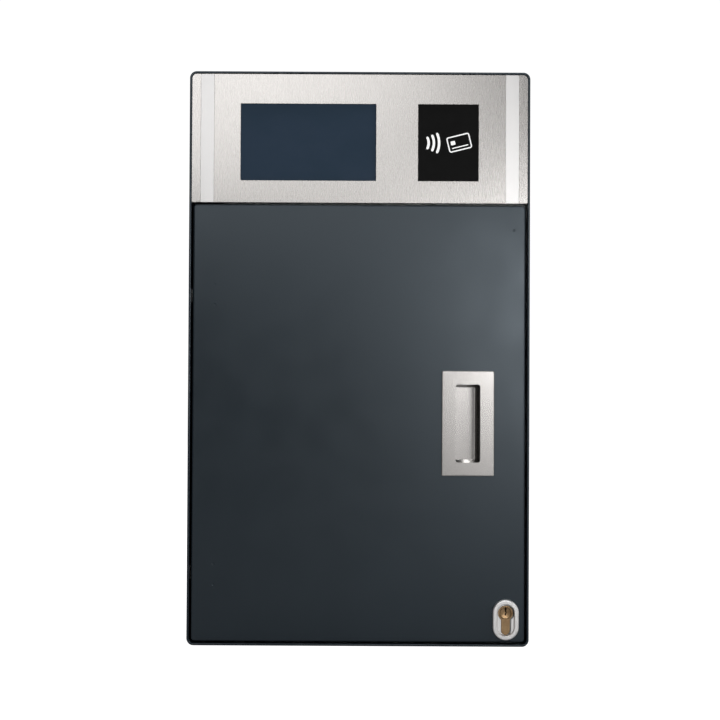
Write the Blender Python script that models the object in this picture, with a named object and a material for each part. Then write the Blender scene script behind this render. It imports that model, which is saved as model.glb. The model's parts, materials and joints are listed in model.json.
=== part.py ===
"""Wall-hung phone charging kiosk: a sheet-steel case with a reader and a display in its header,
two racks of charging slots, and a door with a flush pull, a cylinder lock and a solenoid latch.

Metres. +X is to the right of someone facing the door, +Y runs from the door to the wall, +Z is up.
The origin is the middle of the base, halfway between the front of the lock and the back panel.
"""
from math import cos, pi, radians, sin

import bmesh
import bpy
from mathutils import Vector

# Case
CASE_WIDTH = 0.390
CASE_HEIGHT = 0.656
CASE_DEPTH = 0.180
CASE_SHEET = 0.0025
CASE_RADIUS = 0.008
CASE_EDGE = 0.0015
LOCK_PROUD = 0.006
# GAP is the clearance between parts that touch; PAST is how far a cutter runs beyond what it cuts
GAP = 0.0003
PAST = 0.010

FRONT = LOCK_PROUD - (CASE_DEPTH + LOCK_PROUD) / 2
BACK = FRONT + CASE_DEPTH
INNER_X = CASE_WIDTH / 2 - CASE_SHEET
FIT_X = INNER_X - GAP
FLOOR = CASE_SHEET + GAP
PANEL_SHEET = 0.0025
PANEL_FACE = BACK - PANEL_SHEET
INNER_BACK = PANEL_FACE - GAP
WALL_HOLE_RADIUS = 0.0045
WALL_HOLE_X = 0.150
WALL_HOLE_Z = (0.060, 0.596)
CABLE_X = -0.120
CABLE_Z = 0.600
CABLE_HOLE = 0.016
GROMMET_BORE = 0.009
GROMMET_FLANGE = 0.020
GROMMET_FLANGE_THICK = 0.004

# Door
DOOR_FRONT = FRONT + 0.0005
DOOR_WIDTH = 0.380
DOOR_BOTTOM = 0.005
DOOR_TOP = 0.5032
DOOR_SHEET = 0.0015
DOOR_DEPTH = 0.020
DOOR_RADIUS = 0.004
DOOR_EDGE = 0.002
HAT_CROWN_X = (-0.050, -0.020)
HAT_FOOT = 0.014
HAT_DEPTH = 0.012
HAT_SHEET = 0.0012
HAT_Z = (0.024, 0.484)
DOOR_BACK = DOOR_FRONT + DOOR_DEPTH
SKIN_BACK = DOOR_FRONT + DOOR_SHEET

# Hinges: a concealed gooseneck pair, with the pins just behind the door's left edge
PIVOT_X = -0.178
PIVOT_Y = DOOR_FRONT + 0.0075
HINGE_HEIGHTS = {"upper": 0.400, "lower": 0.081}
KNUCKLE_RADIUS = 0.004
PIN_RADIUS = 0.002
PIN_PROUD = 0.001
PIN_HEAD = 0.002
PIN_HEAD_RADIUS = 0.0032
BORE_RADIUS = 0.0023
KNUCKLE_HALF = 0.018
ARM_HALF = 0.0077
ARM_SLOT_HALF = 0.008
STUD_X = 0.013
STUD_SPACING = 0.0235
STUD_RADIUS = 0.002
STUD_HOLE = 0.0024
LEAF_WIDTH = 0.0205
LEAF_THICK = 0.0025
LEAF_CLEARANCE = 0.006
FOOT_LENGTH = 0.030
FOOT_THICK = 0.0023
FOOT_SCREWS_Y = (0.025, 0.037)
ARM_REACH = 0.015
ARM_THICK = 0.004
HINGE_NOTCH_HALF = 0.010

# Header
FASCIA_BOTTOM = 0.5055
FASCIA_TOP = 0.6529
FASCIA_SHEET = 0.002
FASCIA_FOOT = 0.0015
FASCIA_EDGE = 0.0005
FASCIA_STUD_LENGTH = 0.0085
FASCIA_BACK = DOOR_FRONT + FASCIA_SHEET
WINDOW_BOTTOM = 0.5308
WINDOW_TOP = 0.6189
DISPLAY_WINDOW = (-0.1364, 0.0185)
READER_WINDOW = (0.0666, 0.1359)
STRIP_X = 0.1745
STRIP_WIDTH = 0.015
STRIP_THICK = 0.0006
GLASS_FRONT = FASCIA_BACK + GAP
GLASS_THICK = 0.002
MODULE_FRONT = GLASS_FRONT + GLASS_THICK + GAP
FASCIA_STUD_X = 0.181
FASCIA_STUD_Z = (0.540, 0.620)
DIVIDER_BOTTOM = 0.5059
DIVIDER_SHEET = 0.0015
DIVIDER_FLANGE = 0.020
CABLE_SLOT_X = (-0.165, -0.140)
CABLE_SLOT_Y = (0.045, 0.085)
BAY_FLOOR = DIVIDER_BOTTOM + DIVIDER_SHEET + GAP
BRACKET_SHEET = 0.0018
BRACKET_LEG = 0.018
BRACKET_FOOT = 0.020
BRACKET_Z = (0.520, 0.640)
NUT_CORNER = 0.00404
NUT_THICK = 0.0032

# Display, reader and what drives them, as spans along X and Z
COVER_Z = (0.524, 0.625)
DISPLAY_COVER_X = (-0.144, 0.026)
READER_COVER_X = (0.060, 0.142)
LCD_X = (-0.140, 0.022)
LCD_Z = (0.527, 0.622)
LCD_THICK = 0.006
FRAME_X = (-0.150, 0.032)
FRAME_Z = (0.518, 0.631)
FRAME_DEPTH = 0.010
FRAME_BORDER_X = 0.009
FRAME_BORDER_Z = 0.008
BOARD_THICK = 0.0016
BOARD_FACE = MODULE_FRONT + 0.0145
BOARD_X = (-0.140, 0.010)
BOARD_Z = (0.528, 0.622)
HEAT_SINK_X = (-0.095, -0.055)
HEAT_SINK_Z = (0.560, 0.600)
HEAT_SINK_TOP = 0.012
SOCKET_START = -0.030
SOCKET_PITCH = 0.010
SOCKET_WIDTH = 0.008
SOCKET_COUNT = 4
SOCKET_Z = (0.532, 0.542)
SOCKET_TOP = 0.010
READER_BOARD_X = (0.064, 0.138)
READER_BOARD_Z = (0.528, 0.621)
READER_CAN_X = (0.080, 0.122)
READER_CAN_Z = (0.552, 0.598)
SUPPLY_X = (-0.040, 0.118)
SUPPLY_STEP_X = 0.135
SUPPLY_STEP_HEIGHT = 0.018
SUPPLY_HEIGHT = 0.038
SUPPLY_Y = (-0.020, 0.070)
TERMINAL_X = -0.095
TERMINAL_Y = (0.050, 0.074)
TERMINAL_WIDTH = 0.061
TERMINAL_BASE = 0.018
TERMINAL_HEIGHT = 0.024
TERMINAL_PITCH = 0.010
TERMINAL_WALL = 0.001
TERMINALS = 6

# Door stops and seal
STOP_FACE = DOOR_BACK + 0.0045
STOP_SHEET = 0.0015
STOP_LEFT = -0.158
STOP_RIGHT = 0.1865
STOP_INNER_X = 0.1805
STOP_RETURN = 0.011
STOP_Z = (0.017, 0.484)
SILL_TOP = 0.0125
SEAL_INSET = 0.001
SEAL_Z = (0.004, 0.5034)
SEAL_TOP_Z = 0.492
SEAL_INNER_X = 0.182
SEAL_CORNER = 0.004

# Flush pull
PULL_X = 0.1247
PULL_Z = 0.2539
PULL_WIDTH = 0.060
PULL_HEIGHT = 0.120
PULL_PROUD = 0.0015
OPENING_WIDTH = 0.0283
OPENING_HEIGHT = 0.089
OPENING_RADIUS = 0.003
CUP_DEPTH = 0.013
CUP_WALL = 0.0015
CUP_STEP = 0.0018
CUP_FALL = 0.0127
CUP_RAMP = 0.3
CUP_BEND = 8
CUP_UNDERCUT = 0.006
PULL_EDGE = 0.0012
PULL_HOLE_X = (-0.0175, 0.024)
PULL_HOLE_HALF = 0.0475
CLAMP_X = (-0.027, 0.034)
CLAMP_HALF = 0.056
CLAMP_SHEET = 0.0015

# Cylinder lock
LOCK_X = 0.1682
LOCK_Z = 0.0385
CYLINDER_RADIUS = 0.0085
CYLINDER_TAIL = 0.0245
TAIL_HALF = 0.005
CYLINDER_LENGTH = 0.030
CYLINDER_FRONT = FRONT - 0.0015
CYLINDER_BACK = CYLINDER_FRONT + CYLINDER_LENGTH
PLUG_RADIUS = 0.0064
ESCUTCHEON_X = 0.1682
ESCUTCHEON_Z = 0.0312
ESCUTCHEON_WIDTH = 0.0295
ESCUTCHEON_HEIGHT = 0.0456
ESCUTCHEON_SUNK = 0.0037
ESCUTCHEON_RIM = 0.0052
ESCUTCHEON_ROLL = 0.0026
KEYWAY_HALF = 0.0011
KEYWAY_Z = (-0.0022, 0.0070)
KEYWAY_DEPTH = 0.022
TONGUE_LENGTH = 0.021
TONGUE_TAIL = 0.007
TONGUE_HALF = 0.0065
TONGUE_THICK = 0.0025
TONGUE_HOLE = 0.0022
CYLINDER_CLAMP_X = (0.1535, 0.1865)
CYLINDER_CLAMP_Z = (0.0072, 0.054)
CYLINDER_CLAMP_SHEET = 0.002

# Solenoid latch
LATCH_Z = 0.350
LATCH_Y = DOOR_BACK + 0.0185
LATCH_FACE_X = 0.159
LATCH_BACK_X = 0.1904
LATCH_HALF_DEPTH = 0.010
LATCH_HALF_HEIGHT = 0.012
BOLT_RADIUS = 0.004
BOLT_LENGTH = 0.026
STRIKER_X = 0.1535
STRIKER_SHEET = 0.002
STRIKER_REACH = 0.0085
STRIKER_FOOT = (-0.010, 0.012)
STRIKER_HOLE_HALF = 0.005
MAGNET_X = 0.1767
MAGNET_Z = 0.4748
MAGNET_RADIUS = 0.005
REED_X = (0.166, 0.186)
REED_Z = (0.488, 0.502)
REED_DEPTH = 0.009

# Charging shelves
SHELF_HEIGHTS = {"upper": 0.262, "lower": 0.020}
SHELF_SHEET = 0.0015
SHELF_FRONT = -0.050
SHELF_LIP = 0.012
RACK_PITCH = 0.042
RACK_SLOTS = 8
RACK_FIN = 0.003
RACK_BASE = 0.004
RACK_HEIGHT = 0.090
RACK_FRONT = -0.030
RACK_BACK = 0.055
HUB_HALF = 0.120
HUB_FRONT = 0.060
HUB_DEPTH = 0.028
HUB_HEIGHT = 0.045
PORT_PITCH = 0.028
PORT_HALF = 0.0065
PORT_Z = (0.024, 0.030)
PORT_DEPTH = 0.009

# Finish: base colour, roughness, metallic
FINISHES = {
    "anthracite_powder_coat": ((0.043, 0.053, 0.060), 0.45, 0.0),
    "brushed_stainless": ((0.62, 0.60, 0.58), 0.32, 1.0),
    "satin_stainless": ((0.58, 0.56, 0.54), 0.38, 1.0),
    "satin_trim": ((0.80, 0.78, 0.77), 0.40, 0.4),
    "zinc_plated_steel": ((0.50, 0.51, 0.50), 0.42, 1.0),
    "display_glass": ((0.020, 0.036, 0.062), 0.12, 0.0),
    "reader_black": ((0.009, 0.009, 0.009), 0.22, 0.0),
    "black_plastic": ((0.020, 0.020, 0.022), 0.50, 0.0),
    "circuit_board": ((0.010, 0.085, 0.040), 0.45, 0.0),
    "rubber_black": ((0.016, 0.016, 0.016), 0.75, 0.0),
    "satin_nickel": ((0.66, 0.64, 0.62), 0.30, 1.0),
    "lock_brass": ((0.42, 0.28, 0.15), 0.35, 1.0),
    "grey_plastic": ((0.30, 0.31, 0.32), 0.55, 0.0),
}


# ---------------------------------------------------------------- outlines

def arc(centre_u, centre_v, radius, start, end, steps):
    """Points along an arc, with both ends; angles in degrees, anticlockwise."""
    points = []
    for step in range(steps + 1):
        angle = radians(start + (end - start) * step / steps)
        points.append((centre_u + radius * cos(angle), centre_v + radius * sin(angle)))
    return points


def circle(centre_u, centre_v, radius, steps=24):
    """Points round a full circle."""
    return arc(centre_u, centre_v, radius, 0, 360, steps)[:-1]


def rectangle(u0, u1, v0, v1):
    """Corners of a rectangle."""
    return [(u0, v0), (u1, v0), (u1, v1), (u0, v1)]


def rounded_rectangle(u0, u1, v0, v1, radius, steps=5):
    """Outline of a rectangle with four round corners."""
    low_u, high_u, low_v, high_v = u0 + radius, u1 - radius, v0 + radius, v1 - radius
    return (arc(high_u, low_v, radius, -90, 0, steps) + arc(high_u, high_v, radius, 0, 90, steps)
            + arc(low_u, high_v, radius, 90, 180, steps) + arc(low_u, low_v, radius, 180, 270, steps))


def comb(width, base, height, pitch, slots, fin):
    """Outline of a comb: a base with upright fins on each side of every slot."""
    points = [(-width / 2, 0), (width / 2, 0)]
    for index in range(slots, -1, -1):
        middle = (index - slots / 2) * pitch
        points += [(middle + fin / 2, height), (middle - fin / 2, height)]
        if index > 0:
            points += [(middle - fin / 2, base), (middle - pitch + fin / 2, base)]
    return points


def cylinder_profile(clearance=0.0):
    """Outline of a profile cylinder about its plug: a round head over a narrow round-ended tail."""
    head = CYLINDER_RADIUS + clearance
    half = TAIL_HALF + clearance
    tail_centre = TAIL_HALF - CYLINDER_TAIL
    return (arc(LOCK_X, LOCK_Z, head, -54, 234, 18)
            + arc(LOCK_X, LOCK_Z + tail_centre, half, 180, 360, 8))


# ---------------------------------------------------------------- solids

def placed(axis, outline, depth):
    """An outline set at a depth along an axis: XY for Z, XZ for Y and YZ for X."""
    if axis == "X":
        return [(depth, u, v) for u, v in outline]
    if axis == "Y":
        return [(u, depth, v) for u, v in outline]
    return [(u, v, depth) for u, v in outline]


def loft(name, loops, ring=False):
    """A closed solid through loops of equal length, capped at both ends or closed into a ring."""
    solid = bmesh.new()
    rows = [[solid.verts.new(point) for point in loop] for loop in loops]
    pairs = list(zip(rows, rows[1:]))
    if ring:
        pairs.append((rows[-1], rows[0]))
    else:
        solid.faces.new(rows[0])
        solid.faces.new(rows[-1])
    count = len(rows[0])
    for first, second in pairs:
        for index in range(count):
            after = (index + 1) % count
            solid.faces.new((first[index], first[after], second[after], second[index]))
    bmesh.ops.remove_doubles(solid, verts=solid.verts, dist=1e-7)
    bmesh.ops.recalc_face_normals(solid, faces=solid.faces)
    mesh = bpy.data.meshes.new(name)
    solid.to_mesh(mesh)
    solid.free()
    piece = bpy.data.objects.new(name, mesh)
    bpy.context.scene.collection.objects.link(piece)
    return piece


def prism(name, axis, outline, low, high):
    """An outline extruded along an axis."""
    return loft(name, [placed(axis, outline, low), placed(axis, outline, high)])


def block(name, low, high):
    """A plain box, used for cutters and for the bodies that are joined into a part."""
    return prism(name, "Z", rectangle(low[0], high[0], low[1], high[1]), low[2], high[2])


def slab(name, span_x, span_z, front, thick):
    """An upright plate: its spans along X and Z, its front face and its thickness."""
    return block(name, (span_x[0], front, span_z[0]), (span_x[1], front + thick, span_z[1]))


def turned(name, axis, profile, centre=(0, 0), steps=20, ring=False):
    """A turned solid: (radius, depth) pairs about an axis through centre."""
    loops = [placed(axis, circle(*centre, radius, steps), depth) for radius, depth in profile]
    return loft(name, loops, ring)


def drill(axis, radius, low, high, centre=(0, 0), steps=12):
    """A round cutter that runs past both faces of what it goes through."""
    return turned("cutter", axis, ((radius, low - PAST), (radius, high + PAST)), centre, steps)


def stud(face, tip, centre):
    """A welded stud that stands on a sheet's inner face."""
    return turned("stud", "Y", ((STUD_RADIUS, face - 0.0005), (STUD_RADIUS, tip)), centre, 12)


def rolled_edge(outline, axis, face, radius, into, steps=3):
    """Loops from a flat face round its edge to its sides; outline gives the points at an inset."""
    loops = []
    for step in range(steps + 1):
        angle = pi / 2 * step / steps
        inset = radius * (1 - sin(angle))
        depth = face + into * radius * (1 - cos(angle))
        loops.append(placed(axis, outline(inset), depth))
    return loops


def combine(piece, tools, operation):
    """Join or cut a piece with others, which are used up."""
    for tool in tools:
        modifier = piece.modifiers.new("shape", "BOOLEAN")
        modifier.operation = operation
        modifier.solver = "EXACT"
        modifier.object = tool
    bpy.context.view_layer.update()
    evaluated = piece.evaluated_get(bpy.context.evaluated_depsgraph_get())
    mesh = bpy.data.meshes.new_from_object(evaluated)
    piece.modifiers.clear()
    piece.data = mesh
    for tool in tools:
        bpy.data.objects.remove(tool)
    return piece


def join(piece, *tools):
    return combine(piece, tools, "UNION")


def cut(piece, *tools):
    return combine(piece, tools, "DIFFERENCE")


def make_materials():
    """One Principled material for each finish."""
    materials = {}
    for name, (colour, roughness, metallic) in FINISHES.items():
        material = bpy.data.materials.new(name)
        material.use_nodes = True
        shader = material.node_tree.nodes["Principled BSDF"]
        shader.inputs["Base Color"].default_value = (*colour, 1.0)
        shader.inputs["Roughness"].default_value = roughness
        shader.inputs["Metallic"].default_value = metallic
        materials[name] = material
    return materials


def finish(piece, material, parent=None):
    """Give a part its material, smooth its round faces and hang it on its joint's empty."""
    piece.data.materials.clear()
    piece.data.materials.append(material)
    piece.data.shade_smooth()
    piece.data.set_sharp_from_angle(angle=radians(30))
    if parent:
        piece.parent = parent
        piece.matrix_parent_inverse = parent.matrix_world.inverted()
    return piece


def copy_of(piece, name, offset):
    """A second object on the same mesh, shifted from the first."""
    twin = bpy.data.objects.new(name, piece.data)
    twin.location = piece.location + Vector(offset)
    bpy.context.scene.collection.objects.link(twin)
    return twin


def axis_empty(name, location):
    """An empty that stands on a joint's axis."""
    empty = bpy.data.objects.new(name, None)
    empty.location = location
    bpy.context.scene.collection.objects.link(empty)
    bpy.context.view_layer.update()
    return empty


# ---------------------------------------------------------------- case

def case_outline(inset):
    half = CASE_WIDTH / 2 - inset
    return rounded_rectangle(-half, half, inset, CASE_HEIGHT - inset, CASE_RADIUS - inset)


def make_case_wrapper():
    """The four walls, folded from one strip, with a rounded front edge."""
    loops = rolled_edge(case_outline, "Y", FRONT, CASE_EDGE, 1)
    loops.append(placed("Y", case_outline(0), BACK))
    loops.append(placed("Y", case_outline(CASE_SHEET), BACK))
    loops.append(placed("Y", case_outline(CASE_SHEET), FRONT))
    return loft("case_wrapper", loops, ring=True)


def make_back_panel():
    """The rear plate, with four wall fixing holes and the cable entry."""
    panel = prism("back_panel", "Y", case_outline(CASE_SHEET + GAP), PANEL_FACE, BACK)
    holes = [drill("Y", CABLE_HOLE, PANEL_FACE, BACK, (CABLE_X, CABLE_Z), 20)]
    for x in (-WALL_HOLE_X, WALL_HOLE_X):
        for z in WALL_HOLE_Z:
            holes.append(drill("Y", WALL_HOLE_RADIUS, PANEL_FACE, BACK, (x, z), 16))
    return cut(panel, *holes)


def make_cable_grommet():
    """A rubber bush in the cable entry, flanged inside and flush with the back."""
    neck = CABLE_HOLE - GAP
    flange_front = INNER_BACK - GROMMET_FLANGE_THICK
    profile = ((GROMMET_BORE, flange_front), (GROMMET_FLANGE, flange_front), (GROMMET_FLANGE, INNER_BACK),
               (neck, INNER_BACK), (neck, BACK), (GROMMET_BORE, BACK))
    return turned("cable_grommet", "Y", profile, (CABLE_X, CABLE_Z), 24, ring=True)


def make_header_divider():
    """The shelf under the electronics, with a flange below it that stops the door's top edge."""
    shelf_top = DIVIDER_BOTTOM + DIVIDER_SHEET
    flange_back = STOP_FACE + STOP_SHEET
    flange_bottom = DIVIDER_BOTTOM - DIVIDER_FLANGE
    outline = [(FASCIA_BACK + GAP, DIVIDER_BOTTOM), (STOP_FACE, DIVIDER_BOTTOM),
               (STOP_FACE, flange_bottom), (flange_back, flange_bottom),
               (flange_back, DIVIDER_BOTTOM), (INNER_BACK, DIVIDER_BOTTOM),
               (INNER_BACK, shelf_top), (FASCIA_BACK + GAP, shelf_top)]
    divider = prism("header_divider", "X", outline, -FIT_X, FIT_X)
    swing_room = block("cutter", (-FIT_X - PAST, STOP_FACE - PAST / 4, flange_bottom - PAST),
                       (STOP_LEFT, flange_back + PAST / 4, DIVIDER_BOTTOM - 0.0001))
    cable_slot = block("cutter", (CABLE_SLOT_X[0], CABLE_SLOT_Y[0], DIVIDER_BOTTOM - PAST),
                       (CABLE_SLOT_X[1], CABLE_SLOT_Y[1], shelf_top + PAST))
    return cut(divider, swing_room, cable_slot)


def make_door_stop_right():
    """An angle down the right wall: the door rests on it, and the lock's tongue goes behind it."""
    leg_back = STOP_FACE + STOP_SHEET
    outline = [(STOP_INNER_X, STOP_FACE), (FIT_X, STOP_FACE), (FIT_X, STOP_FACE + STOP_RETURN),
               (FIT_X - STOP_SHEET, STOP_FACE + STOP_RETURN), (FIT_X - STOP_SHEET, leg_back),
               (STOP_INNER_X, leg_back)]
    return prism("door_stop_right", "Z", outline, *STOP_Z)


def make_door_stop_bottom():
    """An angle along the floor behind the door's lower edge."""
    outline = [(STOP_FACE, FLOOR), (STOP_FACE + STOP_RETURN, FLOOR),
               (STOP_FACE + STOP_RETURN, FLOOR + STOP_SHEET),
               (STOP_FACE + STOP_SHEET, FLOOR + STOP_SHEET),
               (STOP_FACE + STOP_SHEET, SILL_TOP), (STOP_FACE, SILL_TOP)]
    return prism("door_stop_bottom", "X", outline, STOP_LEFT, STOP_RIGHT)


def make_door_seal():
    """The foam seal on the three stops, open towards the hinges."""
    left = STOP_LEFT + SEAL_INSET
    right = INNER_X - SEAL_INSET
    low, high = SEAL_Z
    outline = [(left, low), (right - SEAL_CORNER, low), (right, low + SEAL_CORNER), (right, high), (left, high),
               (left, SEAL_TOP_Z), (SEAL_INNER_X, SEAL_TOP_Z), (SEAL_INNER_X, SILL_TOP), (left, SILL_TOP)]
    return prism("door_seal", "Y", outline, DOOR_BACK + GAP, STOP_FACE - GAP)


# ---------------------------------------------------------------- header

def make_fascia():
    """The brushed front plate: two windows, two strip grooves and four fixing studs behind."""
    def outline(inset):
        low_z = FASCIA_BOTTOM + inset
        high_z = FASCIA_TOP - inset
        half = FIT_X - inset
        foot = FASCIA_FOOT - inset
        shoulder = CASE_RADIUS - CASE_SHEET - GAP - inset
        return (arc(half - foot, low_z + foot, foot, -90, 0, 2)
                + arc(half - shoulder, high_z - shoulder, shoulder, 0, 90, 5)
                + arc(shoulder - half, high_z - shoulder, shoulder, 90, 180, 5)
                + arc(foot - half, low_z + foot, foot, 180, 270, 2))

    loops = rolled_edge(outline, "Y", DOOR_FRONT, FASCIA_EDGE, 1, 1)
    loops.append(placed("Y", outline(0), FASCIA_BACK))
    fascia = loft("fascia_plate", loops)
    studs = []
    for x in (-FASCIA_STUD_X, FASCIA_STUD_X):
        for z in FASCIA_STUD_Z:
            studs.append(stud(FASCIA_BACK, FASCIA_BACK + FASCIA_STUD_LENGTH, (x, z)))
    join(fascia, *studs)
    cutters = []
    for left, right in (DISPLAY_WINDOW, READER_WINDOW):
        cutters.append(block("cutter", (left, FRONT - PAST, WINDOW_BOTTOM),
                             (right, FASCIA_BACK + PAST, WINDOW_TOP)))
    groove = STRIP_WIDTH / 2 + GAP
    for middle in (-STRIP_X, STRIP_X):
        cutters.append(block("cutter", (middle - groove, FRONT - PAST, FASCIA_BOTTOM - PAST),
                             (middle + groove, DOOR_FRONT + STRIP_THICK + GAP, FASCIA_TOP + PAST)))
    return cut(fascia, *cutters)


def make_trim_strip(name, side):
    """A light satin strip let into the fascia, from its bottom edge to its top edge."""
    middle = side * STRIP_X
    return block(name, (middle - STRIP_WIDTH / 2, DOOR_FRONT, FASCIA_BOTTOM),
                 (middle + STRIP_WIDTH / 2, DOOR_FRONT + STRIP_THICK, FASCIA_TOP))


def make_fascia_bracket(name, side):
    """An angle on the case wall that takes the fascia's studs."""
    outer = side * FIT_X
    leg = side * (FIT_X - BRACKET_SHEET)
    inner = side * (FIT_X - BRACKET_FOOT)
    front = FASCIA_BACK + GAP
    foot_back = front + BRACKET_SHEET
    leg_back = front + BRACKET_LEG
    outline = [(inner, front), (outer, front), (outer, leg_back), (leg, leg_back),
               (leg, foot_back), (inner, foot_back)]
    bracket = prism(name, "Z", outline, *BRACKET_Z)
    holes = [drill("Y", STUD_HOLE, front, foot_back, (side * FASCIA_STUD_X, z)) for z in FASCIA_STUD_Z]
    return cut(bracket, *holes)


def make_nut(name):
    """An M4 nut about the Y axis, from zero depth backwards."""
    nut = prism(name, "Y", circle(0, 0, NUT_CORNER, 6), 0, NUT_THICK)
    return cut(nut, drill("Y", BORE_RADIUS, 0, NUT_THICK))


def make_display_glass():
    return slab("display_glass", DISPLAY_COVER_X, COVER_Z, GLASS_FRONT, GLASS_THICK)


def make_lcd_panel():
    return slab("lcd_panel", LCD_X, LCD_Z, MODULE_FRONT, LCD_THICK)


def make_display_bracket():
    """The frame that holds the panel and its glass to the fascia."""
    bracket = slab("display_bracket", FRAME_X, FRAME_Z, MODULE_FRONT, FRAME_DEPTH)
    inner_x = (FRAME_X[0] + FRAME_BORDER_X, FRAME_X[1] - FRAME_BORDER_X)
    inner_z = (FRAME_Z[0] + FRAME_BORDER_Z, FRAME_Z[1] - FRAME_BORDER_Z)
    return cut(bracket, slab("cutter", inner_x, inner_z, MODULE_FRONT - PAST, FRAME_DEPTH + 2 * PAST))


def make_controller_board():
    """The control board behind the display, with its heat sink and a row of sockets."""
    board = slab("controller_board", BOARD_X, BOARD_Z, BOARD_FACE, BOARD_THICK)
    root = BOARD_FACE + BOARD_THICK / 2
    parts = [slab("part", HEAT_SINK_X, HEAT_SINK_Z, root, HEAT_SINK_TOP - BOARD_THICK / 2)]
    for index in range(SOCKET_COUNT):
        left = SOCKET_START + index * SOCKET_PITCH
        parts.append(slab("part", (left, left + SOCKET_WIDTH), SOCKET_Z, root, SOCKET_TOP - BOARD_THICK / 2))
    return join(board, *parts)


def make_reader_window():
    return slab("reader_window", READER_COVER_X, COVER_Z, GLASS_FRONT, GLASS_THICK)


def make_reader_board():
    """The contactless reader: an antenna board with its screening can."""
    board = slab("reader_board", READER_BOARD_X, READER_BOARD_Z, MODULE_FRONT, BOARD_THICK)
    root = MODULE_FRONT + BOARD_THICK / 2
    return join(board, slab("part", READER_CAN_X, READER_CAN_Z, root, SOCKET_TOP - BOARD_THICK / 2))


def make_power_supply():
    """The enclosed supply on the divider, with a terminal step at its right end."""
    left, right = SUPPLY_X
    step_top = BAY_FLOOR + SUPPLY_STEP_HEIGHT
    top = BAY_FLOOR + SUPPLY_HEIGHT
    outline = [(left, BAY_FLOOR), (SUPPLY_STEP_X, BAY_FLOOR), (SUPPLY_STEP_X, step_top),
               (right, step_top), (right, top), (left, top)]
    return prism("power_supply", "Y", outline, *SUPPLY_Y)


def make_terminal_block():
    """The mains terminals in a row."""
    outline = comb(TERMINAL_WIDTH, TERMINAL_BASE, TERMINAL_HEIGHT, TERMINAL_PITCH, TERMINALS, TERMINAL_WALL)
    terminal = prism("terminal_block", "Y", outline, *TERMINAL_Y)
    terminal.location = (TERMINAL_X, 0, BAY_FLOOR)
    return terminal


# ---------------------------------------------------------------- door

def door_outline(inset):
    half = DOOR_WIDTH / 2 - inset
    return rounded_rectangle(-half, half, DOOR_BOTTOM + inset, DOOR_TOP - inset, DOOR_RADIUS - inset)


def make_door_skin():
    """The door tray, with rolled front edges, hinge studs and its pull and lock cut-outs."""
    loops = rolled_edge(door_outline, "Y", DOOR_FRONT, DOOR_EDGE, 1)
    loops.append(placed("Y", door_outline(0), DOOR_BACK))
    loops.append(placed("Y", door_outline(DOOR_SHEET), DOOR_BACK))
    loops.append(placed("Y", door_outline(DOOR_SHEET), SKIN_BACK))
    skin = loft("door_skin", loops)
    studs = []
    for height in HINGE_HEIGHTS.values():
        for side in (-0.5, 0.5):
            studs.append(stud(SKIN_BACK, PIVOT_Y + 0.0015, (PIVOT_X + STUD_X, height + side * STUD_SPACING)))
    join(skin, *studs)
    cutters = [prism("cutter", "Y", cylinder_profile(0.0005), FRONT - PAST, DOOR_BACK)]
    left, right = PULL_HOLE_X
    cutters.append(block("cutter", (PULL_X + left, FRONT - PAST, PULL_Z - PULL_HOLE_HALF),
                         (PULL_X + right, DOOR_BACK - 0.001, PULL_Z + PULL_HOLE_HALF)))
    side_wall = DOOR_SHEET - DOOR_WIDTH / 2
    for height in HINGE_HEIGHTS.values():
        cutters.append(block("cutter", (-DOOR_WIDTH / 2 - PAST, SKIN_BACK, height - HINGE_NOTCH_HALF),
                             (side_wall + 0.001, DOOR_BACK + PAST, height + HINGE_NOTCH_HALF)))
    return cut(skin, *cutters)


def make_door_stiffener():
    """A hat channel down the back of the door."""
    front = SKIN_BACK + GAP
    back = front + HAT_DEPTH
    foot_back = front + HAT_SHEET
    left, right = HAT_CROWN_X
    outline = [(left - HAT_FOOT, front), (left + HAT_SHEET, front), (left + HAT_SHEET, back - HAT_SHEET),
               (right - HAT_SHEET, back - HAT_SHEET), (right - HAT_SHEET, front), (right + HAT_FOOT, front),
               (right + HAT_FOOT, foot_back), (right, foot_back), (right, back), (left, back),
               (left, foot_back), (left - HAT_FOOT, foot_back)]
    return prism("door_stiffener", "Z", outline, *HAT_Z)


def make_hinge_leaf():
    """The door's half of a hinge: two knuckles on a plate with two stud holes."""
    front = SKIN_BACK + GAP - PIVOT_Y
    back = front + LEAF_THICK
    leaf = turned("hinge_leaf", "Z", ((KNUCKLE_RADIUS, -KNUCKLE_HALF), (KNUCKLE_RADIUS, KNUCKLE_HALF)))
    join(leaf, block("part", (0, front, -KNUCKLE_HALF), (LEAF_WIDTH, back, KNUCKLE_HALF)))
    tools = [block("cutter", (-LEAF_CLEARANCE, -PAST, -ARM_SLOT_HALF), (LEAF_CLEARANCE, PAST, ARM_SLOT_HALF)),
             drill("Z", BORE_RADIUS, -KNUCKLE_HALF, KNUCKLE_HALF, steps=20)]
    for side in (-0.5, 0.5):
        tools.append(drill("Y", STUD_HOLE, front, back, (STUD_X, side * STUD_SPACING)))
    return cut(leaf, *tools)


def make_hinge_arm():
    """The case's half: a knuckle on a gooseneck that turns to a foot on the side wall."""
    foot_x = -FIT_X - PIVOT_X
    half = ARM_THICK / 2
    reach = ARM_REACH
    outline = arc(0, 0, KNUCKLE_RADIUS, 120, 420, 16)
    foot_face = foot_x + FOOT_THICK
    outline += [(half, reach + ARM_THICK), (foot_face, reach + ARM_THICK),
                (foot_face, reach + FOOT_LENGTH), (foot_x, reach + FOOT_LENGTH),
                (foot_x, reach), (-half, reach)]
    arm = prism("hinge_arm", "Z", outline, -ARM_HALF, ARM_HALF)
    tools = [drill("Z", BORE_RADIUS, -ARM_HALF, ARM_HALF, steps=20)]
    for y in FOOT_SCREWS_Y:
        tools.append(drill("X", BORE_RADIUS, foot_x, foot_face, (y, 0)))
    return cut(arm, *tools)


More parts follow.
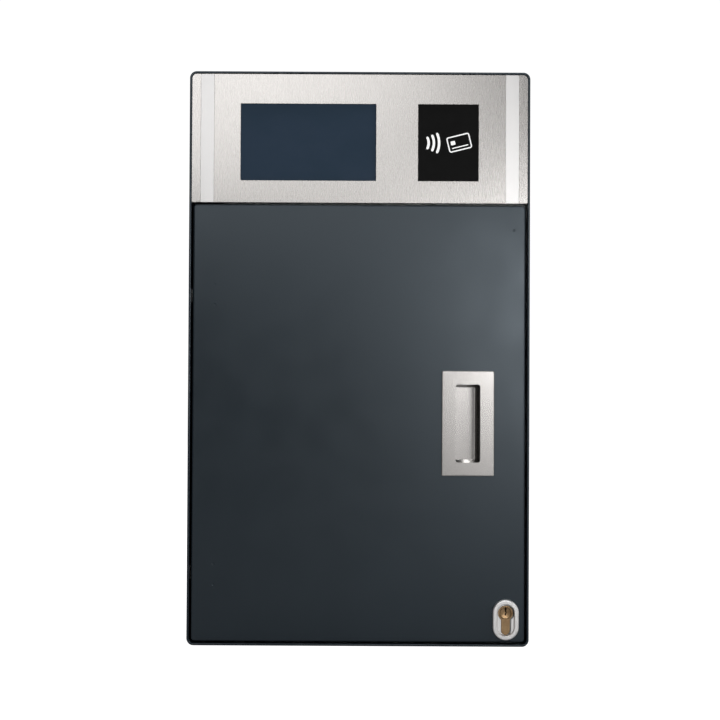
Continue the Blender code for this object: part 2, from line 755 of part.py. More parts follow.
def make_hinge_pin():
    """A headed pin through the knuckles."""
    head = KNUCKLE_HALF + GAP
    profile = ((PIN_RADIUS, -KNUCKLE_HALF - PIN_PROUD), (PIN_RADIUS, head),
               (PIN_HEAD_RADIUS, head), (PIN_HEAD_RADIUS, head + PIN_HEAD))
    return turned("hinge_pin", "Z", profile, steps=16)


def pan_head(face, shank, radius, height):
    """The profile of a pan head that sits on a face, from the end of its shank."""
    return (shank, face), (radius, face), (radius, face + height * 2 / 3), (radius * 2 / 3, face + height)


def make_hinge_screw():
    """A pan-head screw through the arm's foot, towards the wall."""
    foot_x = -FIT_X - PIVOT_X
    face = foot_x + FOOT_THICK + GAP
    profile = ((STUD_RADIUS, foot_x + 0.0002), *pan_head(face, STUD_RADIUS, 0.0038, 0.0024))
    return turned("hinge_screw", "X", profile, steps=16)


# ---------------------------------------------------------------- flush pull

def cup_floor(offset, start, end, steps=14):
    """The floor of the finger cup: a gentle ramp from the left that bends down steeply at the right."""
    points = []
    for step in range(steps + 1):
        share = step / steps
        fall = CUP_RAMP * share + (1 - CUP_RAMP) * share ** CUP_BEND
        points.append((start + (end - start) * share, offset + CUP_FALL * fall))
    return points


def make_pull_plate():
    """The flush pull: a plate with a ramped finger cup that runs under its right-hand rim."""
    face = -PULL_PROUD
    half_width = PULL_WIDTH / 2
    half_height = PULL_HEIGHT / 2
    half_opening = OPENING_WIDTH / 2
    end_z = OPENING_HEIGHT / 2

    def outline(inset):
        return rectangle(inset - half_width, half_width - inset, inset - half_height, half_height - inset)

    loops = rolled_edge(outline, "Y", face, PULL_EDGE, 1, 2)
    loops.append(placed("Y", outline(0), -GAP))
    plate = loft("pull_plate", loops)
    left = -half_opening
    right = half_opening + CUP_UNDERCUT
    root = face + PULL_EDGE - GAP / 2
    shell = cup_floor(face + CUP_STEP + CUP_WALL, left, half_opening)
    shell = ([(left - CUP_WALL, root), (left - CUP_WALL, shell[0][1])] + shell
             + [(right + CUP_WALL, shell[-1][1]), (right + CUP_WALL, root)])
    join(plate, prism("part", "Z", shell, -end_z - CUP_WALL, end_z + CUP_WALL))
    hollow = cup_floor(face + CUP_STEP, left, half_opening)
    hollow = [(left, face - PAST / 2)] + hollow + [(half_opening, face - PAST / 2)]
    mouth = prism("cutter", "Z", hollow, -end_z, end_z)
    corners = rounded_rectangle(left, half_opening, -end_z, end_z, OPENING_RADIUS, 4)
    combine(mouth, [prism("cutter", "Y", corners, face - PAST, CUP_DEPTH + PAST)], "INTERSECT")
    pocket = block("cutter", (half_opening - 0.0005, PULL_PROUD, -end_z),
                   (right, face + CUP_STEP + CUP_FALL, end_z))
    cut(plate, mouth, pocket)
    plate.location = (PULL_X, DOOR_FRONT, PULL_Z)
    return plate


def make_pull_clamp():
    """The frame behind the door skin that clamps the pull in place."""
    front = DOOR_SHEET + GAP
    clamp = slab("pull_clamp", CLAMP_X, (-CLAMP_HALF, CLAMP_HALF), front, CLAMP_SHEET)
    hole_x = (PULL_HOLE_X[0] - GAP, PULL_HOLE_X[1] + GAP)
    hole_z = (-PULL_HOLE_HALF - GAP, PULL_HOLE_HALF + GAP)
    cut(clamp, slab("cutter", hole_x, hole_z, front - PAST, 2 * PAST))
    clamp.location = (PULL_X, DOOR_FRONT, PULL_Z)
    return clamp


# ---------------------------------------------------------------- lock

def make_escutcheon():
    """The oval security rose: a domed rim round a sunk floor with the cylinder's opening."""
    def outline(inset):
        half_width = ESCUTCHEON_WIDTH / 2 - inset
        half_height = ESCUTCHEON_HEIGHT / 2 - inset
        left, right = ESCUTCHEON_X - half_width, ESCUTCHEON_X + half_width
        low, high = ESCUTCHEON_Z - half_height, ESCUTCHEON_Z + half_height
        return rounded_rectangle(left, right, low, high, half_width - 1e-6, 7)

    top = FRONT - LOCK_PROUD
    break_width = 0.001
    loops = [placed("Y", outline(ESCUTCHEON_RIM), top + ESCUTCHEON_SUNK),
             placed("Y", outline(ESCUTCHEON_RIM), top + break_width),
             placed("Y", outline(ESCUTCHEON_RIM - break_width), top)]
    loops += rolled_edge(outline, "Y", top, ESCUTCHEON_ROLL, 1, 4)
    loops.append(placed("Y", outline(0), DOOR_FRONT - GAP))
    rose = loft("lock_escutcheon", loops)
    return cut(rose, prism("cutter", "Y", cylinder_profile(GAP), top - PAST, DOOR_FRONT + PAST))


def make_lock_cylinder():
    """The profile cylinder's housing, bored for its plug."""
    housing = prism("lock_cylinder", "Y", cylinder_profile(), CYLINDER_FRONT, CYLINDER_BACK)
    return cut(housing, drill("Y", PLUG_RADIUS + GAP, CYLINDER_FRONT, CYLINDER_BACK, (LOCK_X, LOCK_Z), 24))


def make_lock_plug():
    """The plug, with its keyway."""
    profile = ((PLUG_RADIUS - 0.0004, CYLINDER_FRONT - GAP), (PLUG_RADIUS, CYLINDER_FRONT),
               (PLUG_RADIUS, CYLINDER_BACK))
    plug = turned("lock_plug", "Y", profile, steps=24)
    keyway = slab("cutter", (-KEYWAY_HALF, KEYWAY_HALF), KEYWAY_Z, CYLINDER_FRONT - PAST, PAST + KEYWAY_DEPTH)
    cut(plug, keyway)
    plug.location = (LOCK_X, 0, LOCK_Z)
    return plug


def make_lock_tongue():
    """The tongue on the back of the plug, standing up when the door is free to open."""
    front = CYLINDER_BACK + GAP
    back = front + TONGUE_THICK
    outline = rounded_rectangle(-TONGUE_HALF, TONGUE_HALF, -TONGUE_TAIL, TONGUE_LENGTH, TONGUE_HALF - 0.0001)
    tongue = prism("lock_tongue", "Y", outline, front, back)
    cut(tongue, drill("Y", TONGUE_HOLE, front, back))
    tongue.location = (LOCK_X, 0, LOCK_Z)
    return tongue


def make_tongue_screw():
    front = CYLINDER_BACK + GAP
    face = front + TONGUE_THICK + GAP
    shank = TONGUE_HOLE - GAP
    screw = turned("tongue_screw", "Y", ((shank, front), *pan_head(face, shank, 0.0042, 0.0028)), steps=16)
    screw.location = (LOCK_X, 0, LOCK_Z)
    return screw


def make_cylinder_clamp():
    """The plate behind the door skin that holds the cylinder."""
    front = SKIN_BACK + GAP
    clamp = slab("cylinder_clamp", CYLINDER_CLAMP_X, CYLINDER_CLAMP_Z, front, CYLINDER_CLAMP_SHEET)
    return cut(clamp, prism("cutter", "Y", cylinder_profile(GAP), front - PAST, front + PAST))


# ---------------------------------------------------------------- latch and door contact

def make_latch_body():
    """The solenoid latch on the right wall, bored for its bolt."""
    span_z = (LATCH_Z - LATCH_HALF_HEIGHT, LATCH_Z + LATCH_HALF_HEIGHT)
    body = slab("latch_body", (LATCH_FACE_X, LATCH_BACK_X), span_z, LATCH_Y - LATCH_HALF_DEPTH, 2 * LATCH_HALF_DEPTH)
    bore = BOLT_RADIUS + 0.0005
    bottom = LATCH_FACE_X + BOLT_LENGTH + 0.001
    profile = ((bore, LATCH_FACE_X - PAST), (bore, bottom))
    return cut(body, turned("cutter", "X", profile, (LATCH_Y, LATCH_Z), 20))


def make_latch_bolt():
    """The sprung bolt, drawn in: without power the door is free."""
    tip = LATCH_FACE_X + GAP
    chamfer = 0.0008
    profile = ((BOLT_RADIUS - chamfer, 0), (BOLT_RADIUS, chamfer), (BOLT_RADIUS, BOLT_LENGTH))
    bolt = turned("latch_bolt", "X", profile, steps=20)
    bolt.location = (tip, LATCH_Y, LATCH_Z)
    return bolt


def make_latch_striker():
    """The bracket on the door that the bolt goes through."""
    front = SKIN_BACK + GAP
    foot_back = front + STRIKER_SHEET
    tip = LATCH_Y + STRIKER_REACH
    left, right = STRIKER_X + STRIKER_FOOT[0], STRIKER_X + STRIKER_FOOT[1]
    leg_right = STRIKER_X + STRIKER_SHEET
    outline = [(left, front), (right, front), (right, foot_back), (leg_right, foot_back), (leg_right, tip),
               (STRIKER_X, tip), (STRIKER_X, foot_back), (left, foot_back)]
    striker = prism("latch_striker", "Z", outline, LATCH_Z - LATCH_HALF_HEIGHT, LATCH_Z + LATCH_HALF_HEIGHT)
    half = STRIKER_HOLE_HALF
    hole = slab("cutter", (STRIKER_X - PAST, STRIKER_X + PAST), (LATCH_Z - half, LATCH_Z + half),
                LATCH_Y - half, 2 * half)
    return cut(striker, hole)


def make_door_magnet():
    front = SKIN_BACK + GAP
    profile = ((MAGNET_RADIUS, front), (MAGNET_RADIUS, front + 0.005), (MAGNET_RADIUS * 0.9, front + 0.006))
    return turned("door_magnet", "Y", profile, (MAGNET_X, MAGNET_Z))


def make_reed_switch():
    """The door contact, on the back of the top stop."""
    front = STOP_FACE + STOP_SHEET + GAP
    outline = rounded_rectangle(*REED_X, *REED_Z, 0.003, 3)
    return prism("reed_switch", "Y", outline, front, front + REED_DEPTH)


# ---------------------------------------------------------------- charging shelves

def make_shelf():
    """A folded shelf with a lip in front."""
    lip_back = SHELF_FRONT + SHELF_SHEET
    outline = [(SHELF_FRONT, -SHELF_LIP), (lip_back, -SHELF_LIP), (lip_back, 0),
               (INNER_BACK, 0), (INNER_BACK, SHELF_SHEET), (SHELF_FRONT, SHELF_SHEET)]
    return prism("upper_shelf", "X", outline, -FIT_X, FIT_X)


def make_rack():
    """The moulded divider that keeps the phones upright, one in each slot."""
    width = RACK_SLOTS * RACK_PITCH + RACK_FIN
    outline = comb(width, RACK_BASE, RACK_HEIGHT, RACK_PITCH, RACK_SLOTS, RACK_FIN)
    return prism("upper_rack", "Y", outline, RACK_FRONT, RACK_BACK)


def make_hub():
    """The charging hub, with a port for each slot."""
    hub = block("upper_usb_hub", (-HUB_HALF, HUB_FRONT, 0), (HUB_HALF, HUB_FRONT + HUB_DEPTH, HUB_HEIGHT))
    ports = []
    for index in range(RACK_SLOTS):
        middle = (index - (RACK_SLOTS - 1) / 2) * PORT_PITCH
        span = (middle - PORT_HALF, middle + PORT_HALF)
        ports.append(slab("cutter", span, PORT_Z, HUB_FRONT - PAST, PAST + PORT_DEPTH))
    return cut(hub, *ports)


# ---------------------------------------------------------------- assembly

def build_case(material):
    for piece in (make_case_wrapper(), make_back_panel()):
        finish(piece, material["anthracite_powder_coat"])
    for piece in (make_header_divider(), make_door_stop_right(), make_door_stop_bottom()):
        finish(piece, material["zinc_plated_steel"])
    finish(make_cable_grommet(), material["rubber_black"])
    finish(make_door_seal(), material["rubber_black"])


def build_header(material):
    finish(make_fascia(), material["brushed_stainless"])
    for name, side in (("left", -1), ("right", 1)):
        finish(make_trim_strip("trim_strip_" + name, side), material["satin_trim"])
        finish(make_fascia_bracket("fascia_bracket_" + name, side), material["zinc_plated_steel"])
    finish(make_display_glass(), material["display_glass"])
    finish(make_lcd_panel(), material["grey_plastic"])
    finish(make_display_bracket(), material["black_plastic"])
    finish(make_controller_board(), material["circuit_board"])
    finish(make_reader_window(), material["reader_black"])
    finish(make_reader_board(), material["circuit_board"])
    finish(make_power_supply(), material["zinc_plated_steel"])
    finish(make_terminal_block(), material["grey_plastic"])


def build_nuts(material, door_axis):
    """Four nuts on the fascia's studs and four on the door's hinge studs."""
    nut = make_nut("nut")
    fascia_nut_y = FASCIA_BACK + GAP + BRACKET_SHEET + GAP
    hinge_nut_y = SKIN_BACK + GAP + LEAF_THICK + GAP
    places = []
    for x_name, x in (("left", -FASCIA_STUD_X), ("right", FASCIA_STUD_X)):
        for z_name, z in zip(("lower", "upper"), FASCIA_STUD_Z):
            places.append((f"fascia_nut_{z_name}_{x_name}", (x, fascia_nut_y, z), None))
    for name, height in HINGE_HEIGHTS.items():
        for number, side in ((1, -0.5), (2, 0.5)):
            spot = (PIVOT_X + STUD_X, hinge_nut_y, height + side * STUD_SPACING)
            places.append((f"hinge_nut_{name}_{number}", spot, door_axis))
    for name, spot, parent in places:
        finish(copy_of(nut, name, spot), material["zinc_plated_steel"], parent)
    bpy.data.objects.remove(nut)


def build_hinges(material, door_axis):
    """The two hinges, shaped once about their pin and set at both heights."""
    steel = material["zinc_plated_steel"]
    leaf, arm, pin, screw = make_hinge_leaf(), make_hinge_arm(), make_hinge_pin(), make_hinge_screw()
    for name, height in HINGE_HEIGHTS.items():
        pivot = Vector((PIVOT_X, PIVOT_Y, height))
        finish(copy_of(leaf, f"hinge_leaf_{name}", pivot), steel, door_axis)
        finish(copy_of(arm, f"hinge_arm_{name}", pivot), steel)
        finish(copy_of(pin, f"hinge_pin_{name}", pivot), steel, door_axis)
        for number, y in enumerate(FOOT_SCREWS_Y, 1):
            finish(copy_of(screw, f"hinge_screw_{name}_{number}", pivot + Vector((0, y, 0))), steel)
    for master in (leaf, arm, pin, screw):
        bpy.data.objects.remove(master)


def build_door(material, door_axis):
    finish(make_door_skin(), material["anthracite_powder_coat"], door_axis)
    finish(make_door_stiffener(), material["zinc_plated_steel"], door_axis)
    finish(make_pull_plate(), material["satin_stainless"], door_axis)
    finish(make_pull_clamp(), material["zinc_plated_steel"], door_axis)
    finish(make_escutcheon(), material["satin_nickel"], door_axis)
    finish(make_lock_cylinder(), material["lock_brass"], door_axis)
    finish(make_cylinder_clamp(), material["zinc_plated_steel"], door_axis)
    finish(make_latch_striker(), material["zinc_plated_steel"], door_axis)
    finish(make_door_magnet(), material["black_plastic"], door_axis)
    lock_axis = axis_empty("lock_axis", (LOCK_X, CYLINDER_FRONT, LOCK_Z))
    finish(make_lock_plug(), material["lock_brass"], lock_axis)
    finish(make_lock_tongue(), material["zinc_plated_steel"], lock_axis)
    finish(make_tongue_screw(), material["zinc_plated_steel"], lock_axis)


def build_latch(material):
    finish(make_latch_body(), material["black_plastic"])
    finish(make_latch_bolt(), material["zinc_plated_steel"])
    finish(make_reed_switch(), material["black_plastic"])


def build_shelves(material):
    """The same shelf, rack and hub on both tiers."""
    shelf, rack, hub = make_shelf(), make_rack(), make_hub()
    upper = SHELF_HEIGHTS["upper"]
    surface = SHELF_SHEET + GAP
    shelf.location.z = upper
    rack.location.z = upper + surface
    hub.location.z = upper + surface
    drop = (0, 0, SHELF_HEIGHTS["lower"] - upper)
    for piece, name, look in ((shelf, "lower_shelf", "anthracite_powder_coat"),
                              (rack, "lower_rack", "black_plastic"), (hub, "lower_usb_hub", "grey_plastic")):
        finish(piece, material[look])
        copy_of(piece, name, drop)


def main():
    for item in list(bpy.data.objects):
        bpy.data.objects.remove(item)
    material = make_materials()
    door_axis = axis_empty("door_axis", (PIVOT_X, PIVOT_Y, 0))
    build_case(material)
    build_header(material)
    build_door(material, door_axis)
    build_hinges(material, door_axis)
    build_nuts(material, door_axis)
    build_latch(material)
    build_shelves(material)


main()
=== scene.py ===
"""The phone charging kiosk's looks: detailed shells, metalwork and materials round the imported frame."""
import json
from math import atan, cos, degrees, pi, radians, sin, sqrt

import bmesh
import bpy
from mathutils import Euler, Matrix, Vector


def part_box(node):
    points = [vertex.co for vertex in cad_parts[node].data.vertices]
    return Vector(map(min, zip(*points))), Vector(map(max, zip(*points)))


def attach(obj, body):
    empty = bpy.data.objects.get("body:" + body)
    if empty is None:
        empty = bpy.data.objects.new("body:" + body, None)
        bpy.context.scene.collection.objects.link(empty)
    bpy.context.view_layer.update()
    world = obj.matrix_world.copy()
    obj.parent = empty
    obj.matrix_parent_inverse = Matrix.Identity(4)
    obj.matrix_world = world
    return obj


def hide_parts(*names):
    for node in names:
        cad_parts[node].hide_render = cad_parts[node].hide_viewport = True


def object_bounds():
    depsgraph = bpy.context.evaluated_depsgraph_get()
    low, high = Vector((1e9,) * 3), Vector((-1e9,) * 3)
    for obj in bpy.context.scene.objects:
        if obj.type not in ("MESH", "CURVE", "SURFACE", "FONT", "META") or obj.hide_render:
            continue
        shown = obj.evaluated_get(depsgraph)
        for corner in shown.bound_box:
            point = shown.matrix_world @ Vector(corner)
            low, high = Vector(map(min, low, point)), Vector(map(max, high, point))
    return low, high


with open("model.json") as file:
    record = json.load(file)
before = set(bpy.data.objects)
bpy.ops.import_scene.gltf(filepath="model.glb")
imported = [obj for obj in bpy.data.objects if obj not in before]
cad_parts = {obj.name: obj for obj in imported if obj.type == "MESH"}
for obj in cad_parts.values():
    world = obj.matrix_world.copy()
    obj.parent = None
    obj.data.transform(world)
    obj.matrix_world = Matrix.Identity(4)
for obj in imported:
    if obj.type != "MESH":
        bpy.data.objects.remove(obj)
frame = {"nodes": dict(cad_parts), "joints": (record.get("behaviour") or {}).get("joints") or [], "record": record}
cad_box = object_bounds()

NODES = frame["nodes"]
BODY_OF = {node: body for body, nodes in frame["record"]["behaviour"]["bodies"].items() for node in nodes}
JOINTS = {joint["name"]: joint for joint in frame["joints"]}

# Sheet and edge sizes that the real pieces share, and how far a cutter reaches past what it cuts
CASE_RADIUS = 0.008
CASE_EDGE = 0.0015
DOOR_RADIUS = 0.004
DOOR_EDGE = 0.002
DOOR_SHEET = 0.0015
FASCIA_SHEET = 0.002
FASCIA_SHOULDER = 0.0052
FASCIA_FOOT = 0.0015
STRIP_GAP = 0.00005
GAP = 0.0003
FINE_EDGE = 0.0003
BEYOND = 0.01


# ---------------------------------------------------------------- outlines

def arc(centre_u, centre_v, radius, start, end, steps):
    """Points along an arc, with both ends; angles in degrees, anticlockwise."""
    points = []
    for step in range(steps + 1):
        angle = radians(start + (end - start) * step / steps)
        points.append((centre_u + radius * cos(angle), centre_v + radius * sin(angle)))
    return points


def circle(centre_u, centre_v, radius, steps):
    return arc(centre_u, centre_v, radius, 0, 360, steps)[:-1]


def rectangle(u0, u1, v0, v1):
    return [(u0, v0), (u1, v0), (u1, v1), (u0, v1)]


def rounded_rectangle(u0, u1, v0, v1, radius, steps=8):
    low_u, high_u, low_v, high_v = u0 + radius, u1 - radius, v0 + radius, v1 - radius
    return (arc(high_u, low_v, radius, -90, 0, steps) + arc(high_u, high_v, radius, 0, 90, steps)
            + arc(low_u, high_v, radius, 90, 180, steps) + arc(low_u, low_v, radius, 180, 270, steps))


# ---------------------------------------------------------------- solids

def placed(axis, outline, depth):
    """An outline set at a depth along an axis: XY for Z, XZ for Y and YZ for X."""
    if axis == "X":
        return [(depth, u, v) for u, v in outline]
    if axis == "Y":
        return [(u, depth, v) for u, v in outline]
    return [(u, v, depth) for u, v in outline]


def mesh_object(name, solid):
    """An object from a bmesh, with clean corners and faces that point out."""
    bmesh.ops.remove_doubles(solid, verts=solid.verts, dist=1e-7)
    bmesh.ops.recalc_face_normals(solid, faces=solid.faces)
    mesh = bpy.data.meshes.new(name)
    solid.to_mesh(mesh)
    solid.free()
    piece = bpy.data.objects.new(name, mesh)
    bpy.context.scene.collection.objects.link(piece)
    return piece


def loft(name, loops, ring=False):
    """A closed solid through loops of equal length, capped at both ends or closed into a ring."""
    solid = bmesh.new()
    rows = [[solid.verts.new(point) for point in loop] for loop in loops]
    pairs = list(zip(rows, rows[1:]))
    if ring:
        pairs.append((rows[-1], rows[0]))
    else:
        solid.faces.new(rows[0])
        solid.faces.new(rows[-1])
    count = len(rows[0])
    for first, second in pairs:
        for index in range(count):
            after = (index + 1) % count
            solid.faces.new((first[index], first[after], second[after], second[index]))
    return mesh_object(name, solid)


def prism(name, axis, outline, low, high):
    return loft(name, [placed(axis, outline, low), placed(axis, outline, high)])


def block(name, low, high):
    return prism(name, "Z", rectangle(low[0], high[0], low[1], high[1]), low[2], high[2])


def turned(name, axis, profile, centre, steps):
    """A turned solid: (radius, depth) pairs about an axis through centre."""
    return loft(name, [placed(axis, circle(*centre, radius, steps), depth) for radius, depth in profile])


def rolled_edge(outline, axis, face, radius, into, steps=6):
    """Loops from a flat face round its edge to its sides; outline gives the points at an inset."""
    loops = []
    for step in range(steps + 1):
        angle = pi / 2 * step / steps
        inset = radius * (1 - sin(angle))
        depth = face + into * radius * (1 - cos(angle))
        loops.append(placed(axis, outline(inset), depth))
    return loops


def combine(piece, tools, operation):
    """Join or cut a piece with others, which are used up."""
    for tool in tools:
        modifier = piece.modifiers.new("shape", "BOOLEAN")
        modifier.operation = operation
        modifier.solver = "EXACT"
        modifier.object = tool
    bpy.context.view_layer.update()
    evaluated = piece.evaluated_get(bpy.context.evaluated_depsgraph_get())
    mesh = bpy.data.meshes.new_from_object(evaluated)
    piece.modifiers.clear()
    piece.data = mesh
    for tool in tools:
        bpy.data.objects.remove(tool)
    return piece


def join(piece, *tools):
    return combine(piece, tools, "UNION")


def cut(piece, *tools):
    return combine(piece, tools, "DIFFERENCE")


def soften(piece, width, segments=2, weld=False):
    """Round a piece's sharp edges a little, so that they catch the light, and shade it smooth."""
    if weld:
        merge = piece.modifiers.new("weld", "WELD")
        merge.merge_threshold = 0.00001
    bevel = piece.modifiers.new("edges", "BEVEL")
    bevel.limit_method = "ANGLE"
    bevel.angle_limit = radians(32)
    bevel.width = width
    bevel.segments = segments
    bevel.use_clamp_overlap = True
    piece.data.shade_smooth()
    return even_normals(piece)


def smooth(piece, angle=32):
    """Shade a piece smooth, but keep its edges above an angle sharp."""
    piece.data.shade_smooth()
    piece.data.set_sharp_from_angle(angle=radians(angle))
    return even_normals(piece)


def even_normals(piece):
    """Let large flat faces keep their own normals beside small round ones."""
    normals = piece.modifiers.new("normals", "WEIGHTED_NORMAL")
    normals.mode = "FACE_AREA"
    normals.weight = 90
    normals.keep_sharp = True
    return piece


def dress(piece, material, body, replaced=()):
    """Give a piece its material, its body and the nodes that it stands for."""
    piece.data.materials.clear()
    piece.data.materials.append(material)
    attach(piece, body)
    if replaced:
        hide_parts(*replaced)
    return piece


# ---------------------------------------------------------------- materials

class Finish:
    """A Principled material that is built up from object-space textures."""

    def __init__(self, name, colour, roughness, metallic=0.0, **fixed):
        self.material = bpy.data.materials.new(name)
        self.material.use_nodes = True
        self.tree = self.material.node_tree
        self.shader = self.tree.nodes["Principled BSDF"]
        self.set("Base Color", (*colour, 1.0))
        self.set("Roughness", roughness)
        self.set("Metallic", metallic)
        for socket, value in fixed.items():
            self.set(socket.replace("_", " "), value)
        self.place = self.tree.nodes.new("ShaderNodeTexCoord").outputs["Object"]
        self.last_normal = None

    def set(self, socket, value):
        self.shader.inputs[socket].default_value = value

    def link(self, source, target):
        self.tree.links.new(source, target)

    def scaled(self, scale):
        mapping = self.tree.nodes.new("ShaderNodeMapping")
        mapping.inputs["Scale"].default_value = scale
        self.link(self.place, mapping.inputs["Vector"])
        return mapping.outputs["Vector"]

    def noise(self, scale, detail, roughness=0.5):
        """Noise with its own cells per metre along X, Y and Z."""
        node = self.tree.nodes.new("ShaderNodeTexNoise")
        node.inputs["Scale"].default_value = 1.0
        node.inputs["Detail"].default_value = detail
        node.inputs["Roughness"].default_value = roughness
        self.link(self.scaled(scale), node.inputs["Vector"])
        return node.outputs["Fac"]

    def cells(self, scale):
        node = self.tree.nodes.new("ShaderNodeTexVoronoi")
        node.inputs["Scale"].default_value = 1.0
        self.link(self.scaled(scale), node.inputs["Vector"])
        return node.outputs["Distance"]

    def span(self, value, low, high, start=0.22, end=0.78):
        """A value brought from its own range to another, with soft ends."""
        node = self.tree.nodes.new("ShaderNodeMapRange")
        node.interpolation_type = "SMOOTHSTEP"
        node.inputs["From Min"].default_value = start
        node.inputs["From Max"].default_value = end
        node.inputs["To Min"].default_value = low
        node.inputs["To Max"].default_value = high
        self.link(value, node.inputs["Value"])
        return node.outputs["Result"]

    def added(self, first, second):
        node = self.tree.nodes.new("ShaderNodeMath")
        self.link(first, node.inputs[0])
        self.link(second, node.inputs[1])
        return node.outputs["Value"]

    def colours(self, value, dark, light):
        """Colour between two shades by a value from 0 to 1."""
        node = self.tree.nodes.new("ShaderNodeMix")
        node.data_type = "RGBA"
        self.link(value, node.inputs["Factor"])
        node.inputs["A"].default_value = (*dark, 1.0)
        node.inputs["B"].default_value = (*light, 1.0)
        return node.outputs["Result"]

    def colour(self, value, dark, light):
        self.link(self.colours(value, dark, light), self.shader.inputs["Base Color"])

    def roughness(self, value, low, high):
        self.link(self.span(value, low, high), self.shader.inputs["Roughness"])

    def bump(self, value, depth):
        """Relief of a depth in metres, on top of any relief before it."""
        node = self.tree.nodes.new("ShaderNodeBump")
        node.inputs["Distance"].default_value = depth
        self.link(value, node.inputs["Height"])
        if self.last_normal:
            self.link(self.last_normal, node.inputs["Normal"])
        self.last_normal = node.outputs["Normal"]
        self.link(self.last_normal, self.shader.inputs["Normal"])
        return self


def shade(colour, factor):
    return tuple(min(1.0, channel * factor) for channel in colour)


def powder_coat(name, colour, roughness):
    """Satin powder coat: a fine orange peel with slow drifts in tone."""
    cool = (0.80, 0.91, 1.0, 1.0)
    finish = Finish(name, colour, roughness, Specular_IOR_Level=0.62, Specular_Tint=cool)
    drift = finish.span(finish.noise((7, 7, 5), 3), 0, 1)
    finish.colour(drift, shade(colour, 0.93), shade(colour, 1.07))
    finish.roughness(finish.noise((25, 25, 25), 1), roughness - 0.02, roughness + 0.02)
    finish.bump(finish.noise((900, 900, 900), 2), 0.000010)
    return finish.material


def brushed(name, colour, roughness, grain=(1400, 1400, 55), contrast=0.04, depth=0.000002, spread=0.03):
    """Brushed metal: fine long scratches, along Z unless grain says otherwise."""
    finish = Finish(name, colour, roughness, 1.0, Anisotropic=0.3)
    fine = finish.noise(grain, 4, 0.65)
    cloud = finish.noise((14, 14, 14), 2)
    mixed = finish.added(finish.span(fine, 0, 0.75, 0.25, 0.75), finish.span(cloud, 0, 0.25))
    finish.colour(mixed, shade(colour, 1 - contrast), shade(colour, 1 + contrast))
    finish.roughness(fine, roughness - spread, roughness + spread)
    finish.bump(fine, depth)
    return finish.material


def satin_metal(name, colour, roughness, mottle=0.04):
    """Plated or blasted metal: an even fine grain with faint clouds."""
    finish = Finish(name, colour, roughness, 1.0)
    cloud = finish.span(finish.noise((90, 90, 90), 5, 0.6), 0, 1)
    finish.colour(cloud, shade(colour, 1 - mottle), shade(colour, 1 + mottle))
    finish.roughness(finish.noise((420, 420, 420), 3), roughness - 0.02, roughness + 0.02)
    finish.bump(finish.noise((2200, 2200, 2200), 2), 0.000002)
    return finish.material


def zinc_plate(name):
    """Zinc plate: pale blue-grey with faint spangle and handling marks."""
    colour = (0.52, 0.54, 0.55)
    finish = Finish(name, colour, 0.38, 1.0)
    spangle = finish.cells((160, 160, 160))
    cloud = finish.noise((60, 60, 60), 5, 0.65)
    tone = finish.added(finish.span(spangle, 0, 0.5, 0.0, 0.8), finish.span(cloud, 0, 0.5))
    finish.colour(tone, (0.44, 0.46, 0.47), (0.60, 0.61, 0.60))
    finish.roughness(cloud, 0.30, 0.46)
    finish.bump(finish.noise((1500, 1500, 1500), 2), 0.000006)
    return finish.material


def moulded(name, colour, roughness):
    """Moulded plastic with a fine spark-eroded texture."""
    finish = Finish(name, colour, roughness, IOR=1.46)
    drift = finish.span(finish.noise((25, 25, 25), 3), 0, 1)
    finish.colour(drift, shade(colour, 0.88), shade(colour, 1.12))
    finish.roughness(finish.noise((300, 300, 300), 3), roughness - 0.06, roughness + 0.06)
    finish.bump(finish.noise((1600, 1600, 1600), 2), 0.00002)
    return finish.material


def rubber(name):
    finish = Finish(name, (0.016, 0.016, 0.016), 0.78)
    cloud = finish.span(finish.noise((60, 60, 60), 4), 0, 1)
    finish.colour(cloud, (0.012, 0.012, 0.012), (0.024, 0.024, 0.023))
    finish.bump(finish.noise((700, 700, 700), 4, 0.7), 0.00006)
    return finish.material


def display_cover_painted_reflection(name):
    """The unlit display's cover: deep blue that is partly its own tint and partly a painted reflection of the pale
    surroundings, with a faint haze.
    """
    # The base colour carries a painted reflection of the pale surroundings, so the cover's own reflection is kept
    # weak.
    finish = Finish(name, (0.026, 0.051, 0.087), 0.4, Specular_IOR_Level=0.10)
    haze = finish.span(finish.noise((16, 16, 24), 3, 0.6), 0, 1)
    finish.colour(haze, (0.023, 0.048, 0.082), (0.029, 0.054, 0.092))
    finish.roughness(finish.noise((120, 120, 120), 3), 0.37, 0.43)
    return finish.material


def reader_cover(name):
    """The reader's cover: black, with a faint haze."""
    finish = Finish(name, (0.005, 0.005, 0.005), 0.4, Specular_IOR_Level=0.06)
    haze = finish.span(finish.noise((20, 20, 20), 3, 0.6), 0, 1)
    finish.colour(haze, (0.004, 0.004, 0.004), (0.006, 0.006, 0.006))
    finish.roughness(finish.noise((120, 120, 120), 3), 0.37, 0.43)
    return finish.material


def circuit_board(name):
    """Solder mask with copper tracks that show through it."""
    finish = Finish(name, (0.010, 0.085, 0.040), 0.35)
    tracks = finish.cells((260, 260, 260))
    finish.colour(finish.span(tracks, 0, 1, 0.2, 0.5), (0.006, 0.060, 0.028), (0.016, 0.120, 0.055))
    finish.bump(tracks, 0.00003)
    return finish.material


def lamp(name):
    """An unlit indicator's frosted green lens."""
    finish = Finish(name, (0.06, 0.30, 0.12), 0.3)
    frost = finish.span(finish.noise((200, 200, 200), 3), 0, 1)
    finish.colour(frost, (0.05, 0.26, 0.10), (0.07, 0.34, 0.14))
    return finish.material


def white_ink(name):
    """Opaque white ink with a painted glow: its emission makes it brighter than the lamps alone light it, though
    it is no lamp.
    """
    white = (1.0, 1.0, 1.0, 1.0)
    # The emission is a painted glow that stands in for light falling on the ink.
    finish = Finish(name, (0.92, 0.92, 0.92), 0.45, Emission_Color=white, Emission_Strength=0.45)
    cover = finish.span(finish.noise((300, 300, 300), 3), 0, 1)
    finish.colour(cover, (0.90, 0.90, 0.90), (0.94, 0.94, 0.94))
    return finish.material


